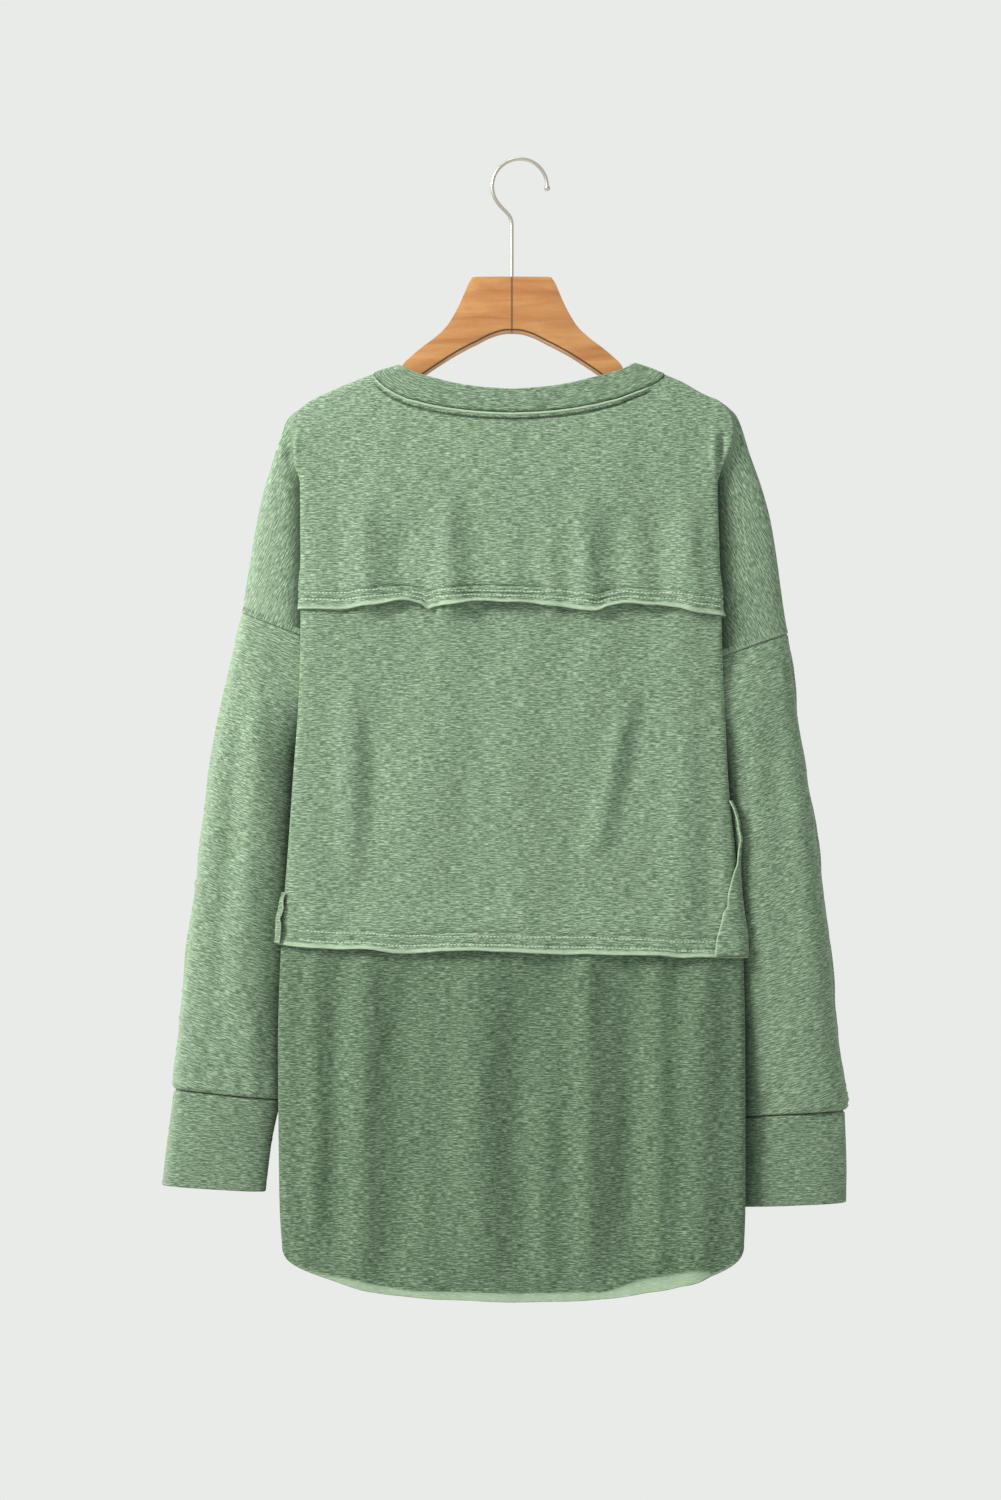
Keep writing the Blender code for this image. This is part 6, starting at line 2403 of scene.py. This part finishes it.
@dataclass
class Stitching:
    """Runs of small machine stitches laid along lines on the cloth."""

    wardrobe: Wardrobe
    length: float = 0.0024
    pitch: float = 0.0030
    thick: float = 0.00080
    sink: float = 0.00010
    look_ahead: float = 0.001
    tier_reach: float = 0.172
    neck_reach: float = 0.108
    neck_off: float = 0.0048

    def stitch(self) -> tuple[np.ndarray, list[list[int]]]:
        """One stitch as a short low spindle: its vertices and faces.

        Returns:
            The vertices, and each face's vertices.
        """
        bpy.ops.object.select_all(action="DESELECT")
        bpy.ops.mesh.primitive_uv_sphere_add(segments=6, ring_count=4, radius=0.5)
        bpy.ops.object.mode_set(mode="EDIT")
        bpy.ops.mesh.select_all(action="SELECT")
        bpy.ops.transform.resize(value=(self.thick, self.thick, self.length))
        bpy.ops.object.mode_set(mode="OBJECT")
        model = bpy.context.object
        vertices = np.array([v.co[:] for v in model.data.vertices])
        faces = [list(p.vertices) for p in model.data.polygons]
        bpy.data.objects.remove(model)
        return vertices, faces

    def build(
        self, name: str, lines: list[tuple[np.ndarray, np.ndarray]], thread: bpy.types.Material
    ) -> None:
        """Lay stitches along lines.

        Args:
            name: the piece's name.
            lines: each line's points and the way the cloth faces at them.
            thread: the thread's finish.
        """
        template, faces = self.stitch()
        vertices, polygons = [], []
        for line, facing in lines:
            run = arc_lengths(line[:, None], 0)[:, 0]
            marks = np.arange(self.pitch, run[-1] - self.pitch, self.pitch)
            at = np.stack([np.interp(marks, run, line[:, k]) for k in range(3)], -1)
            out = np.stack([np.interp(marks, run, facing[:, k]) for k in range(3)], -1)
            out /= np.linalg.norm(out, axis=-1, keepdims=True)
            later = marks + self.look_ahead
            ahead = np.stack([np.interp(later, run, line[:, k]) for k in range(3)], -1) - at
            ahead -= (ahead * out).sum(-1, keepdims=True) * out
            ahead /= np.linalg.norm(ahead, axis=-1, keepdims=True)
            beside = np.cross(ahead, out)
            for centre, along, up, side in zip(at - out * self.sink, ahead, out, beside):
                base = len(vertices) * len(template)
                vertices.append(centre + template @ np.stack((side, up, along)))
                polygons += [[base + i for i in face] for face in faces]
        mesh = bpy.data.meshes.new(name)
        points = np.concatenate(vertices)
        points[:, 0] -= HOOK_REACH
        mesh.from_pydata(points.tolist(), [], polygons)
        shaped = bmesh.new()
        shaped.from_mesh(mesh)
        bmesh.ops.recalc_face_normals(shaped, faces=shaped.faces)
        shaped.to_mesh(mesh)
        shaped.free()
        mesh.shade_smooth()
        dressed(name, mesh, thread)

    @staticmethod
    def kept(line: tuple[np.ndarray, np.ndarray], reach: float) -> tuple[np.ndarray, np.ndarray]:
        """The part of a line that lies within a half width, with the way the cloth faces."""
        inside = np.abs(line[0][:, 0]) < reach
        return line[0][inside], line[1][inside]

    def sew(self, yoke: BodyPanel, middle: BodyPanel) -> None:
        """Sew two rows above each raw edge of the back, and the dark row below the neck seam.

        Args:
            yoke: the yoke's panel, once it is made.
            middle: the middle tier's panel, once it is made.
        """
        rows = [(panel, off) for panel in (yoke, middle) for off in panel.grooves]
        lines = [self.kept(panel.grid.line_at(off), self.tier_reach) for panel, off in rows]
        self.build("tier_stitches", lines, self.wardrobe.thread)
        seam = yoke.grid.line_at(self.neck_off, from_start=True)
        self.build("neck_coverstitches", [self.kept(seam, self.neck_reach)], self.wardrobe.dark_thread)


@dataclass(frozen=True)
class Outline:
    """Top and lower edge of the hanger's arm at a place out from its middle."""

    across: float
    top_z: float
    low_z: float


ARM_OUTLINE = (
    Outline(0.0000, -0.0965, -0.1427),
    Outline(0.0060, -0.0965, -0.1430),
    Outline(0.0170, -0.0966, -0.1460),
    Outline(0.0300, -0.0967, -0.1525),
    Outline(0.0335, -0.0975, -0.1541),
    Outline(0.0347, -0.0995, -0.1547),
    Outline(0.0376, -0.1061, -0.1563),
    Outline(0.0434, -0.1196, -0.1594),
    Outline(0.0480, -0.1282, -0.1620),
    Outline(0.0537, -0.1373, -0.1656),
    Outline(0.0639, -0.1471, -0.1722),
    Outline(0.0742, -0.1548, -0.1792),
    Outline(0.0830, -0.1622, -0.1850),
    Outline(0.0900, -0.1690, -0.1890),
    Outline(0.0920, -0.1735, -0.1900),
    Outline(0.1144, -0.1858, -0.2010),
    Outline(0.1406, -0.1957, -0.2110),
    Outline(0.1590, -0.2042, -0.2170),
    Outline(0.1630, -0.2076, -0.2168),
    Outline(0.1644, -0.2105, -0.2145),
)


@dataclass
class Hanger:
    """The wooden hanger: two flat shaped arms joined at the middle, with its groove's shade painted
    underneath as a dark strip.
    """

    wardrobe: Wardrobe
    half_depth: float = 0.0048
    rounding: float = 0.0016
    samples: int = 150
    groove_end: float = 0.0915
    groove_up: float = 0.0024
    groove_sink: float = 0.0003
    groove_radius: float = 0.0008
    groove_samples: int = 121
    smooth_deg: float = 40.0
    groove_smooth_deg: float = 50.0
    eased_from_deg: float = 60.0

    def outline(self) -> np.ndarray:
        """The hanger's outline, once round, as across and height.

        Returns:
            Across and height of each point, over the top and back below.
        """
        top = track_of(ARM_OUTLINE, "across", "top_z")
        low = track_of(ARM_OUTLINE, "across", "low_z")
        end = ARM_OUTLINE[-1].across
        across = end * np.sin(np.linspace(-math.pi / 2, math.pi / 2, self.samples))
        upper = np.stack((across, top(np.abs(across))), -1)
        under = np.stack((across[::-1], low(np.abs(across[::-1]))), -1)
        return np.concatenate((upper, under))

    def build(self) -> None:
        """Model the wood from a filled outline: extruded and eased at its edges, with a dark strip of
        painted groove shade below.
        """
        outline = self.outline()
        bpy.ops.object.select_all(action="DESELECT")
        bpy.ops.mesh.primitive_circle_add(vertices=len(outline), fill_type="NGON", radius=0.1)
        wood = bpy.context.object
        wood.name = "hanger_beech"
        for vertex, (across, height) in zip(wood.data.vertices, outline):
            vertex.co = (across - HOOK_REACH, -self.half_depth, height)
        bpy.ops.object.mode_set(mode="EDIT")
        bpy.ops.mesh.select_all(action="SELECT")
        bpy.ops.mesh.extrude_region_move(
            TRANSFORM_OT_translate={"value": (0.0, 2 * self.half_depth, 0.0)}
        )
        bpy.ops.mesh.select_all(action="SELECT")
        bpy.ops.mesh.normals_make_consistent(inside=False)
        bpy.ops.object.mode_set(mode="OBJECT")
        ease_edges = wood.modifiers.new("eased_edges", "BEVEL")
        ease_edges.width = self.rounding
        ease_edges.segments = 4
        ease_edges.limit_method = "ANGLE"
        ease_edges.angle_limit = math.radians(self.eased_from_deg)
        ease_edges.use_clamp_overlap = True
        bpy.ops.object.modifier_apply(modifier=ease_edges.name)
        bpy.ops.object.shade_smooth_by_angle(angle=math.radians(self.smooth_deg))
        dress(wood, self.wardrobe.beech, ("hanger_wood",))
        self.groove()

    def groove(self) -> None:
        """Paint the groove's shade along the underside as a thin dark strip let into the wood."""
        low = track_of(ARM_OUTLINE, "across", "low_z")
        across = np.linspace(-self.groove_end, self.groove_end, self.groove_samples)
        bpy.ops.object.select_all(action="DESELECT")
        bpy.ops.curve.primitive_bezier_curve_add()
        strip = bpy.context.object
        strip.name = "hanger_groove"
        strip.data.splines.clear()
        spline = strip.data.splines.new("POLY")
        spline.points.add(len(across) - 1)
        for point, x in zip(spline.points, across):
            z = float(low(abs(x))) + self.groove_up
            point.co = (x - HOOK_REACH, -self.half_depth + self.groove_sink, z, 1.0)
        strip.data.bevel_depth = self.groove_radius
        strip.data.bevel_resolution = 2
        bpy.ops.object.convert(target="MESH")
        strip = bpy.context.object
        bpy.ops.object.shade_smooth_by_angle(angle=math.radians(self.groove_smooth_deg))
        dress(strip, self.wardrobe.groove)


@dataclass
class Hook:
    """The nickel wire hook with its small rounded end."""

    wardrobe: Wardrobe
    wire: float = 0.0030
    radius: float = 0.0227
    start_deg: float = -2.0
    end_deg: float = 212.0
    join_z: float = -0.0540
    foot_z: float = -0.0985
    ball: float = 0.0026
    ball_drop: float = 0.0006
    bend_reach: float = 0.45
    smooth_deg: float = 50.0

    def route(self) -> np.ndarray:
        """The wire's middle line: the arc, the bend back and the stem.

        Returns:
            The line's points, in the garment's frame.
        """
        centre = np.array([HOOK_REACH, 0.0, -self.radius + self.wire / 2])
        angles = np.radians(np.linspace(self.start_deg, self.end_deg, 60))
        arc = centre + self.radius * np.stack((np.cos(angles), 0 * angles, np.sin(angles)), -1)
        last = angles[-1]
        heading = np.array([-math.sin(last), 0.0, math.cos(last)])
        join = np.array([0.0, 0.0, self.join_z])
        reach = self.bend_reach * np.linalg.norm(join - arc[-1])
        handles = (arc[-1], arc[-1] + heading * reach, join + np.array([0, 0, reach]), join)
        t = np.linspace(0, 1, 24)[1:, None]
        bend = (
            (1 - t) ** 3 * handles[0]
            + 3 * t * (1 - t) ** 2 * handles[1]
            + 3 * t * t * (1 - t) * handles[2]
            + t**3 * handles[3]
        )
        stem = np.stack((np.zeros(4), np.zeros(4), np.linspace(self.join_z, self.foot_z, 5)[1:]), -1)
        return np.concatenate((arc, bend, stem))

    def build(self) -> None:
        """Model the wire as a swept curve with a ball on its end, joined into one mesh."""
        route = self.route()
        bpy.ops.object.select_all(action="DESELECT")
        bpy.ops.curve.primitive_bezier_curve_add()
        wire = bpy.context.object
        wire.data.splines.clear()
        spline = wire.data.splines.new("POLY")
        spline.points.add(len(route) - 1)
        for point, place in zip(spline.points, route):
            point.co = (place[0] - HOOK_REACH, place[1], place[2], 1.0)
        wire.data.bevel_depth = self.wire / 2
        wire.data.bevel_resolution = 6
        wire.data.use_fill_caps = True
        bpy.ops.object.convert(target="MESH")
        wire = bpy.context.object
        bpy.ops.mesh.primitive_uv_sphere_add(
            segments=24,
            ring_count=14,
            radius=self.ball,
            location=(route[0][0] - HOOK_REACH, 0.0, route[0][2] - self.ball_drop),
        )
        ball = bpy.context.object
        wire.select_set(True)
        bpy.context.view_layer.objects.active = wire
        ball.select_set(True)
        bpy.ops.object.join()
        wire.name = "hook_wire"
        bpy.ops.object.transform_apply(location=True, rotation=True, scale=True)
        bpy.ops.object.shade_smooth_by_angle(angle=math.radians(self.smooth_deg))
        dress(wire, self.wardrobe.nickel, ("hanger_hook",))


@dataclass
class Studio:
    """The pale floor, the soft lights and the camera."""

    floor_z: float = -1.55
    floor_radius: float = 1.6
    background: str = "#E9EBE9"
    ambient: float = 1.0
    distance: float = 2.35
    frame_height: float = 1.230
    look_x: float = -0.0159
    look_z: float = -0.4874
    cloth_near: float = 0.02
    sensor: float = 36.0

    def floor(self) -> None:
        """A round pale floor well below the hem."""
        bpy.ops.object.select_all(action="DESELECT")
        bpy.ops.mesh.primitive_circle_add(vertices=96, fill_type="NGON", radius=self.floor_radius)
        floor = bpy.context.object
        floor.name = "studio_floor"
        floor.location = (0, 0, self.floor_z)
        floor.data.materials.append(StudioPaint().make())

    def area_light(
        self, name: str, place: Vector, aim: Vector, size: float, power: float, colour: str
    ) -> None:
        """A square soft light.

        Args:
            name: the light's name.
            place: where it stands.
            aim: what it points at.
            size: the length of its side.
            power: its power in watts.
            colour: its hex colour.
        """
        data = bpy.data.lights.new(name, "AREA")
        data.size = size
        data.energy = power
        data.color = srgb(colour)[:3]
        light = bpy.data.objects.new(name, data)
        light.location = place
        light.rotation_euler = (aim - place).to_track_quat("-Z", "Y").to_euler()
        bpy.context.scene.collection.objects.link(light)

    def lights(self) -> None:
        """A soft key from high on the left, a faint light from above, and even pale air."""
        self.area_light("key", Vector((-1.95, -1.20, 0.95)), Vector((0, 0, -0.45)), 0.8, 126.0, "#FFFDF8")
        self.area_light("top", Vector((-0.25, -0.35, 1.15)), Vector((0, 0, -0.5)), 0.7, 5.0, "#FFFFFF")
        world = bpy.data.worlds.new("pale_air")
        world.use_nodes = True
        air = world.node_tree.nodes["Background"]
        air.inputs["Color"].default_value = srgb(self.background)
        air.inputs["Strength"].default_value = self.ambient
        bpy.context.scene.world = world
        settings = bpy.context.scene.view_settings
        settings.view_transform = "Standard"
        settings.look = "None"

    def camera(self) -> None:
        """A straight-on camera at the height of the top's middle."""
        data = bpy.data.cameras.new("camera")
        data.sensor_width = self.sensor
        data.lens = self.sensor * (self.distance - self.cloth_near) / self.frame_height
        camera = bpy.data.objects.new("camera", data)
        camera.location = (self.look_x, -self.distance, self.look_z)
        camera.rotation_euler = (math.pi / 2, 0.0, 0.0)
        bpy.context.scene.collection.objects.link(camera)
        bpy.context.scene.camera = camera

    def build(self) -> None:
        """Set up the whole studio."""
        self.floor()
        self.lights()
        self.camera()


def main() -> None:
    """Build the top, its hanger and the studio, in order."""
    logging.basicConfig(level=logging.INFO, format="%(message)s")
    wardrobe = Wardrobe()
    body = BodyCloth(wardrobe)
    body.build()
    Neckband(wardrobe).build()
    for side in Side:
        Sleeve(side, wardrobe).build()
    yoke, middle = body.made["back_yoke_cloth"], body.made["back_middle_cloth"]
    for side in Side:
        SeamAllowance(side, wardrobe).build(middle)
    Stitching(wardrobe).sew(yoke, middle)
    Hanger(wardrobe).build()
    Hook(wardrobe).build()
    Studio().build()


if __name__ == "__main__":
    main()
